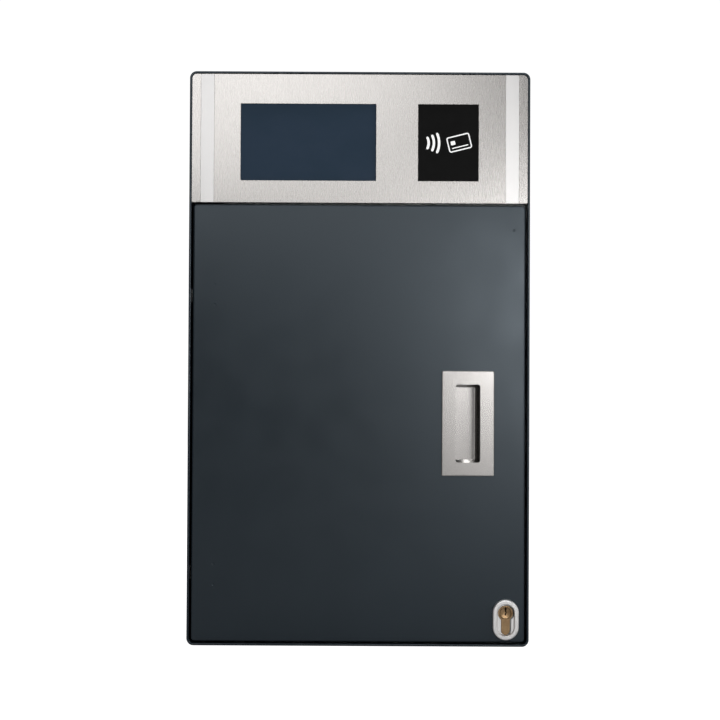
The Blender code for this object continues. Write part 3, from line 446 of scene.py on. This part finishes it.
def brass(name):
    """Aged satin brass, browner where it is handled less."""
    finish = Finish(name, (0.42, 0.27, 0.14), 0.36, 1.0)
    cloud = finish.span(finish.noise((130, 130, 130), 5, 0.65), 0, 1)
    finish.colour(cloud, (0.30, 0.185, 0.095), (0.50, 0.34, 0.19))
    finish.roughness(finish.noise((500, 500, 500), 3), 0.30, 0.44)
    finish.bump(finish.noise((1800, 1800, 1800), 3), 0.00001)
    return finish.material


ANTHRACITE = (0.011, 0.018, 0.025)
STAINLESS = (0.40, 0.386, 0.374)
TRIM = (0.66, 0.65, 0.645)
MATERIALS = {
    "anthracite_powder_coat": powder_coat("powder_coat_anthracite", ANTHRACITE, 0.30),
    "brushed_stainless": brushed("stainless_brushed", STAINLESS, 0.27),
    "satin_stainless": brushed("stainless_satin", STAINLESS, 0.25, (420, 420, 420), 0.02, 0.000001, 0.01),
    "satin_trim": brushed("strip_satin", TRIM, 0.38, (1500, 1500, 22), 0.012, 0.000001, 0.01),
    "zinc_plated_steel": zinc_plate("zinc_plate"),
    # The display cover's blue is partly a painted reflection of the pale surroundings.
    "display_glass": display_cover_painted_reflection("display_cover_painted_reflection"),
    "reader_black": reader_cover("reader_black"),
    "black_plastic": moulded("plastic_black", (0.036, 0.036, 0.038), 0.5),
    "circuit_board": circuit_board("circuit_board"),
    "rubber_black": rubber("rubber_black"),
    "satin_nickel": satin_metal("nickel_satin", (0.90, 0.89, 0.885), 0.42, 0.02),
    "lock_brass": brass("brass_aged"),
    "grey_plastic": moulded("plastic_grey", (0.22, 0.23, 0.24), 0.5),
    # The white ink carries a painted glow.
    "white_ink": white_ink("ink_white_painted_glow"),
    "lamp": lamp("lamp_green"),
}
SLOT_OF = {part["node"]: part["material_slot"] for part in frame["record"]["subparts"]}


def stand_for(piece, node):
    """Dress a piece that takes the place of one CAD node."""
    return dress(piece, MATERIALS[SLOT_OF[node]], BODY_OF[node], (node,))


# ---------------------------------------------------------------- case

def case_outline(inset):
    low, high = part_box("case_wrapper")
    radius = CASE_RADIUS - inset
    return rounded_rectangle(low.x + inset, high.x - inset, low.z + inset, high.z - inset, radius, 12)


def make_case_shell():
    """The folded wrapper, with its rounded front edge and a fine break on its inner and rear edges."""
    low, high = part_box("case_wrapper")
    wall = high.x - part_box("back_panel")[1].x - GAP
    fine = FINE_EDGE
    loops = rolled_edge(case_outline, "Y", low.y, CASE_EDGE, 1, 8)
    loops.append(placed("Y", case_outline(0), high.y - fine))
    loops.append(placed("Y", case_outline(fine), high.y))
    loops.append(placed("Y", case_outline(wall - fine), high.y))
    loops.append(placed("Y", case_outline(wall), high.y - fine))
    loops.append(placed("Y", case_outline(wall), low.y + fine))
    loops.append(placed("Y", case_outline(wall - fine), low.y))
    return stand_for(smooth(loft("case_shell", loops, ring=True), 50), "case_wrapper")


# ---------------------------------------------------------------- header

def opening_box(name):
    """Low and high corners of one of the record's openings."""
    opening = next(item for item in frame["record"]["physics"]["openings"] if item["name"] == name)
    low, high = (Vector(corner) for corner in opening["box_m"])
    return low, high


def make_fascia_panel():
    """The brushed plate, with broken edges round its outline, its windows and its strip grooves."""
    low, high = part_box("fascia_plate")
    strip_low, strip_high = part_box("trim_strip_right")
    back = low.y + FASCIA_SHEET

    def outline(inset):
        half = high.x - inset
        foot = FASCIA_FOOT - inset
        shoulder = FASCIA_SHOULDER - inset
        bottom = low.z + inset
        top = high.z - inset
        return (arc(half - foot, bottom + foot, foot, -90, 0, 4)
                + arc(half - shoulder, top - shoulder, shoulder, 0, 90, 10)
                + arc(shoulder - half, top - shoulder, shoulder, 90, 180, 10)
                + arc(foot - half, bottom + foot, foot, 180, 270, 4))

    panel = prism("fascia_panel", "Y", outline(0), low.y, back)
    margin = 0.001
    cutters = []
    for name in ("display_window", "reader_window_opening"):
        window_low, window_high = opening_box(name)
        cutters.append(block("cutter", (window_low.x - margin, low.y - BEYOND, window_low.z - margin),
                             (window_high.x + margin, back + BEYOND, window_high.z + margin)))
    for side in (-1, 1):
        left, right = sorted((side * (strip_low.x - STRIP_GAP), side * (strip_high.x + STRIP_GAP)))
        cutters.append(block("cutter", (left, low.y - BEYOND, low.z - BEYOND),
                             (right, strip_high.y + GAP, high.z + BEYOND)))
    cut(panel, *cutters)
    soften(panel, 0.00025, 2)
    return stand_for(panel, "fascia_plate")


def band(centre_x, centre_z, radius, width, half_angle, steps=14):
    """Outline of one round-ended arc that opens to the left."""
    outer, inner = radius + width / 2, radius - width / 2
    points = arc(centre_x, centre_z, outer, -half_angle, half_angle, steps)
    tip = radians(half_angle)
    points += arc(centre_x + radius * cos(tip), centre_z + radius * sin(tip), width / 2,
                  half_angle, half_angle + 180, 6)[1:-1]
    points += arc(centre_x, centre_z, inner, half_angle, -half_angle, steps)
    points += arc(centre_x + radius * cos(tip), centre_z - radius * sin(tip), width / 2,
                  180 - half_angle, 360 - half_angle, 6)[1:-1]
    return points


def make_reader_symbol():
    """A plain sign for a contactless reader: three arcs and a tilted card."""
    cover_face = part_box("reader_window")[0].y
    window_low, window_high = opening_box("reader_window_opening")
    middle = (window_low + window_high) / 2
    front, ink = cover_face - 0.00006, cover_face + 0.0001
    source_x = middle.x - 0.036
    pieces = []
    for index, radius in enumerate((0.0135, 0.0195, 0.0255)):
        outline = band(source_x, middle.z, radius, 0.0028, 26 - index)
        pieces.append(prism("reader_symbol_arc_%d" % (index + 1), "Y", outline, front, ink))
    card_width, card_height, line = 0.027, 0.018, 0.0014
    tilt = Matrix.Rotation(radians(-14), 4, "Y")
    card_middle = Vector((middle.x + 0.0125, 0, middle.z + 0.0005))

    def card_part(name, u0, u1, v0, v1, radius, hollow):
        outline = rounded_rectangle(u0, u1, v0, v1, radius, 6)
        loops = [placed("Y", outline, front), placed("Y", outline, ink)]
        if hollow:
            inner_radius = max(radius - line, 0.0004)
            inner = rounded_rectangle(u0 + line, u1 - line, v0 + line, v1 - line, inner_radius, 6)
            loops += [placed("Y", inner, ink), placed("Y", inner, front)]
        piece = loft(name, loops, ring=hollow)
        piece.data.transform(Matrix.Translation(card_middle) @ tilt)
        pieces.append(piece)

    half_width, half_height = card_width / 2, card_height / 2
    card_part("reader_symbol_card", -half_width, half_width, -half_height, half_height, 0.0026, True)
    card_part("reader_symbol_chip", -0.0095, -0.0045, -0.001, 0.0035, 0.0008, False)
    card_part("reader_symbol_line", -0.0095, 0.0095, -0.0052, -0.0040, 0.0005, False)
    for piece in pieces:
        # The sign's white ink carries a painted glow.
        dress(piece, MATERIALS["white_ink"], "case")
    return pieces


# ---------------------------------------------------------------- door

def door_outline(inset):
    low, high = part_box("door_skin")
    radius = DOOR_RADIUS - inset
    return rounded_rectangle(low.x + inset, high.x - inset, low.z + inset, high.z - inset, radius, 8)


def make_door_panel():
    """The door tray: rolled edges, hinge notches, cut-outs and the faint marks of its welded studs."""
    low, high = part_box("door_skin")
    inner = low.y + DOOR_SHEET
    fine = FINE_EDGE
    loops = rolled_edge(door_outline, "Y", low.y, DOOR_EDGE, 1, 10)
    loops.append(placed("Y", door_outline(0), high.y - fine))
    loops.append(placed("Y", door_outline(fine), high.y))
    loops.append(placed("Y", door_outline(DOOR_SHEET - fine), high.y))
    loops.append(placed("Y", door_outline(DOOR_SHEET), high.y - fine))
    loops.append(placed("Y", door_outline(DOOR_SHEET), inner))
    panel = loft("door_panel", loops)
    left_lap, right_lap, end_lap = 0.0095, 0.0100, 0.0085
    notch_half, stud_radius, stud_chamfer, stud_rise = 0.010, 0.002, 0.0004, 0.0008
    clamp_low, clamp_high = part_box("pull_clamp")
    lock_low, lock_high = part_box("lock_cylinder")
    cutters = [block("cutter", (clamp_low.x + left_lap, low.y - BEYOND, clamp_low.z + end_lap),
                     (clamp_high.x - right_lap, high.y - 0.001, clamp_high.z - end_lap)),
               block("cutter", (lock_low.x - GAP, low.y - BEYOND, lock_low.z - GAP),
                     (lock_high.x + GAP, high.y - 0.001, lock_high.z + GAP))]
    studs = []
    for height in ("upper", "lower"):
        leaf_low, leaf_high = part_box("hinge_leaf_" + height)
        middle = (leaf_low.z + leaf_high.z) / 2
        cutters.append(block("cutter", (low.x - BEYOND, inner, middle - notch_half),
                             (low.x + DOOR_SHEET + 0.001, high.y + BEYOND, middle + notch_half)))
        for number in (1, 2):
            nut_low, nut_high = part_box("hinge_nut_%s_%d" % (height, number))
            centre = (nut_low + nut_high) / 2
            studs.append((centre.x, centre.z, nut_high.y + stud_rise))
    cut(panel, *cutters)
    stud_tip = stud_radius - stud_chamfer
    bars = []
    for x, z, tip in studs:
        stud = ((stud_radius, inner - 0.0005), (stud_radius, tip - stud_chamfer), (stud_tip, tip))
        bars.append(turned("stud", "Y", stud, (x, z), 20))
    join(panel, *bars)
    magnet_low, magnet_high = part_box("door_magnet")
    magnet = (magnet_low + magnet_high) / 2
    marks = [place[:2] for place in studs] + [(magnet.x, magnet.z)]
    dent = ((0.0018, low.y - 0.0002), (0.0016, low.y + 0.00002),
            (0.0009, low.y + 0.00012), (0.0002, low.y + 0.00016))
    dents = [turned("dent", "Y", dent, spot, 20) for spot in marks]
    cut(panel, *dents)
    return stand_for(smooth(panel, 40), "door_skin")


# ---------------------------------------------------------------- flush pull

def make_flush_pull():
    """The pull: a plate with rolled edges and a cup whose floor bends down under its right-hand rim."""
    low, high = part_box("pull_plate")
    centre_x, centre_z = (low.x + high.x) / 2, (low.z + high.z) / 2
    face, wall, edge, corner = low.y, 0.0015, 0.0012, 0.0014
    half_opening, half_end, undercut, slope = 0.01415, 0.0445, 0.006, 0.0034
    shallow, deep = 0.0018, high.y - face - wall
    ramp, bend = 0.3, 12
    left, right = centre_x - half_opening, centre_x + half_opening

    def outline(inset):
        radius = corner - inset
        return rounded_rectangle(low.x + inset, high.x - inset, low.z + inset, high.z - inset, radius, 4)

    def floor_line(offset, part):
        """The cup's floor from left to right; part is the share of its full depth."""
        points = []
        for step in range(33):
            share = step / 32
            fall = ramp * share + (1 - ramp) * share ** bend
            depth = part * (shallow + (deep - shallow) * fall)
            points.append((left + (right - left) * share, face + offset + depth))
        return points

    def mouth_loop(height, part):
        points = [(left, face - 0.004)] + floor_line(0, part) + [(right, face - 0.004)]
        return placed("Z", points, centre_z + height)

    pull = loft("flush_pull", rolled_edge(outline, "Y", face, edge, 1, 5))
    root = face + edge - 0.0002
    back = floor_line(wall, 1)
    shell = [(left - wall, root), (left - wall, back[0][1])] + back
    shell += [(right + undercut + wall, high.y), (right + undercut + wall, root)]
    join(pull, prism("part", "Z", shell, centre_z - half_end - wall, centre_z + half_end + wall))
    rows = [(half_end - slope * step / 6, 0.1 + 0.9 * step / 6) for step in range(7)]
    stations = [(-height, part) for height, part in rows] + list(reversed(rows))
    mouth = loft("cutter", [mouth_loop(height, part) for height, part in stations])
    corners = rounded_rectangle(left, right, centre_z - half_end, centre_z + half_end, 0.003, 8)
    combine(mouth, [prism("cutter", "Y", corners, face - BEYOND, high.y + BEYOND)], "INTERSECT")
    hollow = rounded_rectangle(right - 0.0005, right + undercut, centre_z - half_end + 0.001,
                               centre_z + half_end - 0.001, 0.0002, 2)
    cut(pull, mouth, prism("cutter", "Y", hollow, face + 0.003, high.y - wall))
    soften(pull, 0.0002, 2)
    return stand_for(pull, "pull_plate")


# ---------------------------------------------------------------- lock

def lock_centre():
    return Vector(JOINTS["lock_turn"]["pos_m"])


def cylinder_outline(clearance=0.0, shift=0.0):
    """The profile cylinder's outline: a round head over a narrow round-ended tail."""
    centre = lock_centre()
    head, half = 0.0085 + clearance, 0.005 + clearance
    tail = centre.z - 0.0195
    reach = degrees(atan(sqrt(head ** 2 - half ** 2) / half))
    return (arc(centre.x + shift, centre.z, head, -reach, 180 + reach, 32)
            + arc(centre.x + shift, tail, half, 180, 360, 14))


def make_rose():
    """The oval rose: a flat rim with rolled edges, a step down to its floor, the cylinder's opening."""
    low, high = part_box("lock_escutcheon")

    def outline(inset):
        radius = (high.x - low.x) / 2 - inset - 1e-6
        return rounded_rectangle(low.x + inset, high.x - inset, low.z + inset, high.z - inset, radius, 16)

    top, floor = low.y, low.y + 0.0037
    loops = [placed("Y", outline(0.0056), floor)]
    loops += [placed("Y", outline(0.0053), floor - 0.0004), placed("Y", outline(0.0051), top + 0.0010)]
    loops += [placed("Y", outline(0.0048), top + 0.0003), placed("Y", outline(0.0044), top)]
    loops += rolled_edge(outline, "Y", top, 0.0014, 1, 8)
    loops.append(placed("Y", outline(0), high.y))
    rose = loft("lock_rose", loops)
    cut(rose, prism("cutter", "Y", cylinder_outline(0.0008, 0.0005), top - BEYOND, high.y + BEYOND))
    soften(rose, 0.0002, 2)
    return stand_for(rose, "lock_escutcheon")


def make_cylinder_body():
    low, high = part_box("lock_cylinder")
    centre = lock_centre()
    body = prism("lock_cylinder_body", "Y", cylinder_outline(), low.y, high.y)
    bore = ((0.0067, low.y - BEYOND), (0.0067, high.y + BEYOND))
    cut(body, turned("cutter", "Y", bore, (centre.x, centre.z), 40))
    soften(body, 0.0003, 2)
    return stand_for(body, "lock_cylinder")


def make_plug_body():
    """The plug with a dished face, a broken edge and a stepped keyway."""
    low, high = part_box("lock_plug")
    centre = lock_centre()
    spot = (centre.x, centre.z)
    profile = ((0.0008, low.y + 0.00062), (0.0030, low.y + 0.0005), (0.0048, low.y + 0.00022),
               (0.0058, low.y), (0.0064, low.y + 0.0004), (0.0064, high.y))
    plug = turned("lock_plug_body", "Y", profile, spot, 40)
    right_side = [(0.0012, 0.0075), (0.0012, 0.0038), (0.0004, 0.0032), (0.0004, 0.0022), (0.0013, 0.0016),
                  (0.0013, 0.0002), (0.0005, -0.0004), (0.0005, -0.0022)]
    left_side = [(-0.0007, -0.0022), (-0.0007, -0.0006), (0.0001, 0.0002), (0.0001, 0.0014),
                 (-0.0008, 0.0020), (-0.0008, 0.0034), (-0.0012, 0.0040), (-0.0012, 0.0075)]
    slot = [(centre.x + u, centre.z + v) for u, v in right_side + left_side]
    cut(plug, prism("cutter", "Y", slot, low.y - BEYOND, low.y + 0.022))
    soften(plug, 0.00012, 1)
    return stand_for(plug, "lock_plug")


# ---------------------------------------------------------------- fixings

def gather(name, pieces):
    """One object from separate closed solids."""
    solid = bmesh.new()
    for piece in pieces:
        solid.from_mesh(piece.data)
        bpy.data.objects.remove(piece)
    return mesh_object(name, solid)


def make_nut(node):
    """A hexagon nut, chamfered on both faces, with a lead-in to its thread."""
    low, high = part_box(node)
    centre = (low + high) / 2
    spot = (centre.x, centre.z)
    corner = (high.x - low.x) / 2
    flat, bore, lead = corner * cos(pi / 6), 0.0022, 0.0005
    nut = prism(node + "_hex", "Y", circle(*spot, corner, 6), low.y, high.y)
    tip = flat * 0.97
    chamfers = ((tip, low.y), (corner, low.y + lead), (corner, high.y - lead), (tip, high.y))
    combine(nut, [turned("cutter", "Y", chamfers, spot, 36)], "INTERSECT")
    mouth = bore + 2 * lead
    hole = ((mouth, low.y - lead), (bore, low.y + lead), (bore, high.y - lead), (mouth, high.y + lead))
    cut(nut, turned("cutter", "Y", hole, spot, 24))
    return stand_for(smooth(nut, 24), node)


def make_pan_screw(node, axis, shank, height):
    """A pan-head screw with a cross recess; its head is at the high end of its axis."""
    low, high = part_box(node)
    centre = (low + high) / 2
    along = "XYZ".index(axis)
    first, second = [index for index in range(3) if index != along]
    spot = (centre[first], centre[second])
    radius = (high[first] - low[first]) / 2
    top, under = high[along], high[along] - height
    profile = [(shank, low[along]), (shank, under), (radius - 0.0002, under), (radius, under + 0.0002)]
    for step in range(8):
        angle = pi / 2 * step / 7
        profile.append((radius * (0.5 + 0.5 * cos(angle)), under + height * (0.3 + 0.7 * sin(angle))))
    screw = turned(node + "_pan", axis, profile, spot, 32)
    arm, half = radius * 0.58, radius * 0.13
    for wide, tall in ((arm, half), (half, arm)):
        outline = rectangle(spot[0] - wide, spot[0] + wide, spot[1] - tall, spot[1] + tall)
        cut(screw, prism("cutter", axis, outline, top - height * 0.55, top + 0.001))
    return stand_for(smooth(screw, 24), node)


# ---------------------------------------------------------------- charging hubs and latch

def make_hub(node):
    """The charging hub: a grooved body, metal-lined ports with tongues, and a lamp over each port."""
    low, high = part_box(node)
    pitch, half, floor, ceiling, depth = 0.028, 0.0065, low.z + 0.024, low.z + 0.030, 0.009
    section = rounded_rectangle(low.x, high.x, low.z, high.z, 0.0025, 5)
    body = prism(node + "_body", "Y", section, low.y, high.y)
    centres = [(index - 3.5) * pitch for index in range(8)]
    cutters = []
    for x in centres:
        mouth = rounded_rectangle(x - half, x + half, floor, ceiling, 0.0012, 4)
        cutters.append(prism("cutter", "Y", mouth, low.y - 0.001, low.y + depth))
        cutters.append(block("cutter", (x - 0.009, low.y - 0.001, high.z - 0.0016),
                             (x + 0.009, low.y + 0.0008, high.z + 0.001)))
    for index in range(15):
        x = (index - 7) * 0.008
        groove = rounded_rectangle(x - 0.0012, x + 0.0012, low.y + 0.007, high.y - 0.006, 0.0011, 3)
        cutters.append(prism("cutter", "Z", groove, high.z - 0.0018, high.z + 0.001))
    cut(body, *cutters)
    soften(body, 0.0004, 2)
    stand_for(body, node)
    front, back = low.y - 0.0002, low.y + depth - 0.0004
    lens = ((0.0014, low.y + 0.0002), (0.0014, low.y - 0.0001),
            (0.0011, low.y - 0.0004), (0.0005, low.y - 0.00055))

    def port_outline(x, inset, radius):
        reach = half - inset
        return rounded_rectangle(x - reach, x + reach, floor + inset, ceiling - inset, radius, 4)

    shells, tongues, lamps = [], [], []
    for x in centres:
        outer = port_outline(x, 0.0002, 0.0011)
        inner = port_outline(x, 0.0006, 0.0008)
        loops = [placed("Y", outer, front), placed("Y", outer, back)]
        loops += [placed("Y", inner, back), placed("Y", inner, front)]
        shells.append(loft("part", loops, ring=True))
        tongues.append(block("part", (x - 0.0047, front + 0.0012, ceiling - 0.0028),
                             (x + 0.0047, back, ceiling - 0.0013)))
        lamps.append(turned("part", "Y", lens, (x, low.z + 0.0365), 20))
    dress(smooth(gather(node + "_shells", shells), 30), MATERIALS["satin_nickel"], "case")
    dress(smooth(gather(node + "_tongues", tongues), 30), MATERIALS["black_plastic"], "case")
    dress(smooth(gather(node + "_lamps", lamps), 40), MATERIALS["lamp"], "case")


def make_latch():
    """The solenoid latch: a moulded body with a blank label recess, and its bolt with a rounded tip."""
    low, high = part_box("latch_body")
    bolt_low, bolt_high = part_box("latch_bolt")
    bolt = (bolt_low + bolt_high) / 2
    spot = (bolt.y, bolt.z)
    radius = (bolt_high.z - bolt_low.z) / 2
    section = rounded_rectangle(low.y, high.y, low.z, high.z, 0.0018, 5)
    body = prism("latch_housing", "X", section, low.x, high.x)
    hole = radius + 0.0005
    label = rounded_rectangle(low.x + 0.008, high.x - 0.008, low.z + 0.005, high.z - 0.005, 0.001, 4)
    cut(body, turned("cutter", "X", ((hole, low.x - 0.001), (hole, bolt_high.x + 0.001)), spot, 32),
        prism("cutter", "Y", label, low.y - 0.001, low.y + 0.0004))
    soften(body, 0.0004, 2)
    stand_for(body, "latch_body")
    tip = 0.0018
    profile = ((radius - tip, bolt_low.x), (radius - 0.0004, bolt_low.x + 0.0008),
               (radius, bolt_low.x + tip), (radius, bolt_high.x))
    stand_for(smooth(turned("latch_bolt_pin", "X", profile, spot, 36), 40), "latch_bolt")


# ---------------------------------------------------------------- the rest of the frame

EDGE_WIDTHS = {"upper_rack": 0.0008, "lower_rack": 0.0008, "reed_switch": 0.0006, "cable_grommet": 0.0006,
               "door_seal": 0.0008}
PLAIN_EDGE = 0.00025


def finish_frame():
    """Give every CAD node that still shows its procedural finish and soft edges."""
    for name, node in NODES.items():
        node.data.materials.clear()
        node.data.materials.append(MATERIALS[SLOT_OF[name]])
        if not node.hide_render:
            soften(node, EDGE_WIDTHS.get(name, PLAIN_EDGE), 2, weld=True)


# ---------------------------------------------------------------- stage

AMBIENT_FRONT = 0.02
AMBIENT_AROUND = 0.88
FLOOR_GLOW = 0.95
DISTANCE = 1.8
CAMERA_RISE = -0.030
VIEW_SPAN = 0.819
ROLL = 0.28


def make_camera():
    """A long lens from the front, a little below the middle, as the kiosk is seen."""
    data = bpy.data.cameras.new("camera")
    camera = bpy.data.objects.new("camera", data)
    bpy.context.scene.collection.objects.link(camera)
    low, high = cad_box
    target = Vector((0.0013, low.y, (low.z + high.z) / 2 - 0.0023))
    camera.location = (target.x, low.y - DISTANCE, target.z + CAMERA_RISE)
    direction = target - camera.location
    turn = direction.to_track_quat("-Z", "Y")
    camera.rotation_mode = "QUATERNION"
    camera.rotation_quaternion = turn @ Euler((0, 0, radians(ROLL))).to_quaternion()
    data.sensor_width = 36
    data.lens = data.sensor_width * direction.length / VIEW_SPAN
    data.clip_start, data.clip_end = 0.05, 50
    bpy.context.scene.camera = camera


def area_light(name, place, aim, size, power):
    data = bpy.data.lights.new(name, "AREA")
    data.shape = "RECTANGLE"
    data.size, data.size_y = size
    data.energy = power
    light = bpy.data.objects.new(name, data)
    light.location = place
    light.rotation_mode = "QUATERNION"
    light.rotation_quaternion = (Vector(aim) - Vector(place)).to_track_quat("-Z", "Y")
    bpy.context.scene.collection.objects.link(light)


def ramp_of(nodes, links, value, low, high, bottom, top):
    """A value mapped from one range to another, held at its ends."""
    node = nodes.new("ShaderNodeMapRange")
    node.inputs["From Min"].default_value = low
    node.inputs["From Max"].default_value = high
    node.inputs["To Min"].default_value = bottom
    node.inputs["To Max"].default_value = top
    links.new(value, node.inputs["Value"])
    return node.outputs["Result"]


def make_world():
    """White to the camera; for all that it lights, a pale surround that is dim only in front."""
    world = bpy.data.worlds.new("studio")
    bpy.context.scene.world = world
    world.use_nodes = True
    nodes, links = world.node_tree.nodes, world.node_tree.links
    nodes.clear()
    place = nodes.new("ShaderNodeTexCoord")
    split = nodes.new("ShaderNodeSeparateXYZ")
    links.new(place.outputs["Generated"], split.inputs["Vector"])
    share = ramp_of(nodes, links, split.outputs["Y"], -0.9, 0.1, 0, 1)
    curve = nodes.new("ShaderNodeMath")
    curve.operation = "POWER"
    curve.inputs[1].default_value = 2.0
    links.new(share, curve.inputs[0])
    around = ramp_of(nodes, links, curve.outputs["Value"], 0, 1, AMBIENT_FRONT, AMBIENT_AROUND)
    ambient = nodes.new("ShaderNodeBackground")
    links.new(around, ambient.inputs["Strength"])
    seen = nodes.new("ShaderNodeBackground")
    seen.inputs["Color"].default_value = (1, 1, 1, 1)
    seen.inputs["Strength"].default_value = 1.05
    path = nodes.new("ShaderNodeLightPath")
    mix = nodes.new("ShaderNodeMixShader")
    links.new(path.outputs["Is Camera Ray"], mix.inputs["Fac"])
    links.new(ambient.outputs["Background"], mix.inputs[1])
    links.new(seen.outputs["Background"], mix.inputs[2])
    output = nodes.new("ShaderNodeOutputWorld")
    links.new(mix.outputs["Shader"], output.inputs["Surface"])


def make_floor():
    """A wide pale floor under the case."""
    solid = bmesh.new()
    bmesh.ops.create_grid(solid, x_segments=8, y_segments=8, size=6)
    floor = mesh_object("studio_floor", solid)
    floor.location.z = cad_box[0].z - 0.0002
    finish = Finish("floor_pale", (0.5, 0.5, 0.5), 0.9)
    finish.set("Specular IOR Level", 0.0)
    finish.colour(finish.span(finish.noise((2, 2, 2), 2), 0, 1), (0.49, 0.49, 0.49), (0.51, 0.51, 0.51))
    glow = finish.tree.nodes.new("ShaderNodeEmission")
    glow.inputs["Strength"].default_value = FLOOR_GLOW
    path = finish.tree.nodes.new("ShaderNodeLightPath")
    share = finish.tree.nodes.new("ShaderNodeMixShader")
    total = finish.tree.nodes.new("ShaderNodeAddShader")
    output = finish.tree.nodes["Material Output"]
    dark = finish.tree.nodes.new("ShaderNodeEmission")
    dark.inputs["Strength"].default_value = 0.0
    finish.link(path.outputs["Is Camera Ray"], share.inputs["Fac"])
    finish.link(dark.outputs["Emission"], share.inputs[1])
    finish.link(glow.outputs["Emission"], share.inputs[2])
    finish.link(finish.shader.outputs["BSDF"], total.inputs[0])
    finish.link(share.outputs["Shader"], total.inputs[1])
    finish.link(total.outputs["Shader"], output.inputs["Surface"])
    floor.data.materials.append(finish.material)


LIGHTS = (
    ("softbox_left", (-0.5, -2.3, 1.08), (0.5, 0.7), 3.6),
    ("softbox_middle", (0.0, -2.3, 1.2), (0.5, 0.45), 2.3),
    ("softbox_middle_low", (0.0, -2.3, 0.75), (0.5, 0.45), 0.8),
    ("softbox_right_low", (0.55, -2.3, 0.30), (0.6, 0.45), 1.6),
    ("strip_right", (0.6, -2.3, 0.53), (0.3, 0.30), 5.1),
    ("strip_middle", (0.3, -2.3, 0.66), (0.3, 0.18), 0.4),
    ("panel_side", (1.7, -1.0, 0.6), (1.2, 1.2), 5.2),
    ("panel_top", (0.0, -0.25, 2.0), (1.6, 0.5), 10.0),
)


def make_stage():
    make_camera()
    make_world()
    make_floor()
    middle = (cad_box[0] + cad_box[1]) / 2
    for name, place, size, power in LIGHTS:
        area_light(name, place, middle, size, power)
    bpy.context.scene.view_settings.view_transform = "Standard"


make_case_shell()
make_fascia_panel()
make_reader_symbol()
make_door_panel()
make_flush_pull()
make_rose()
make_cylinder_body()
make_plug_body()
for name in NODES:
    if name.startswith(("hinge_nut", "fascia_nut")):
        make_nut(name)
    if name.startswith("hinge_screw"):
        make_pan_screw(name, "X", 0.002, 0.0024)
    if name.endswith("usb_hub"):
        make_hub(name)
make_pan_screw("tongue_screw", "Y", 0.0019, 0.0028)
make_latch()
finish_frame()
make_stage()
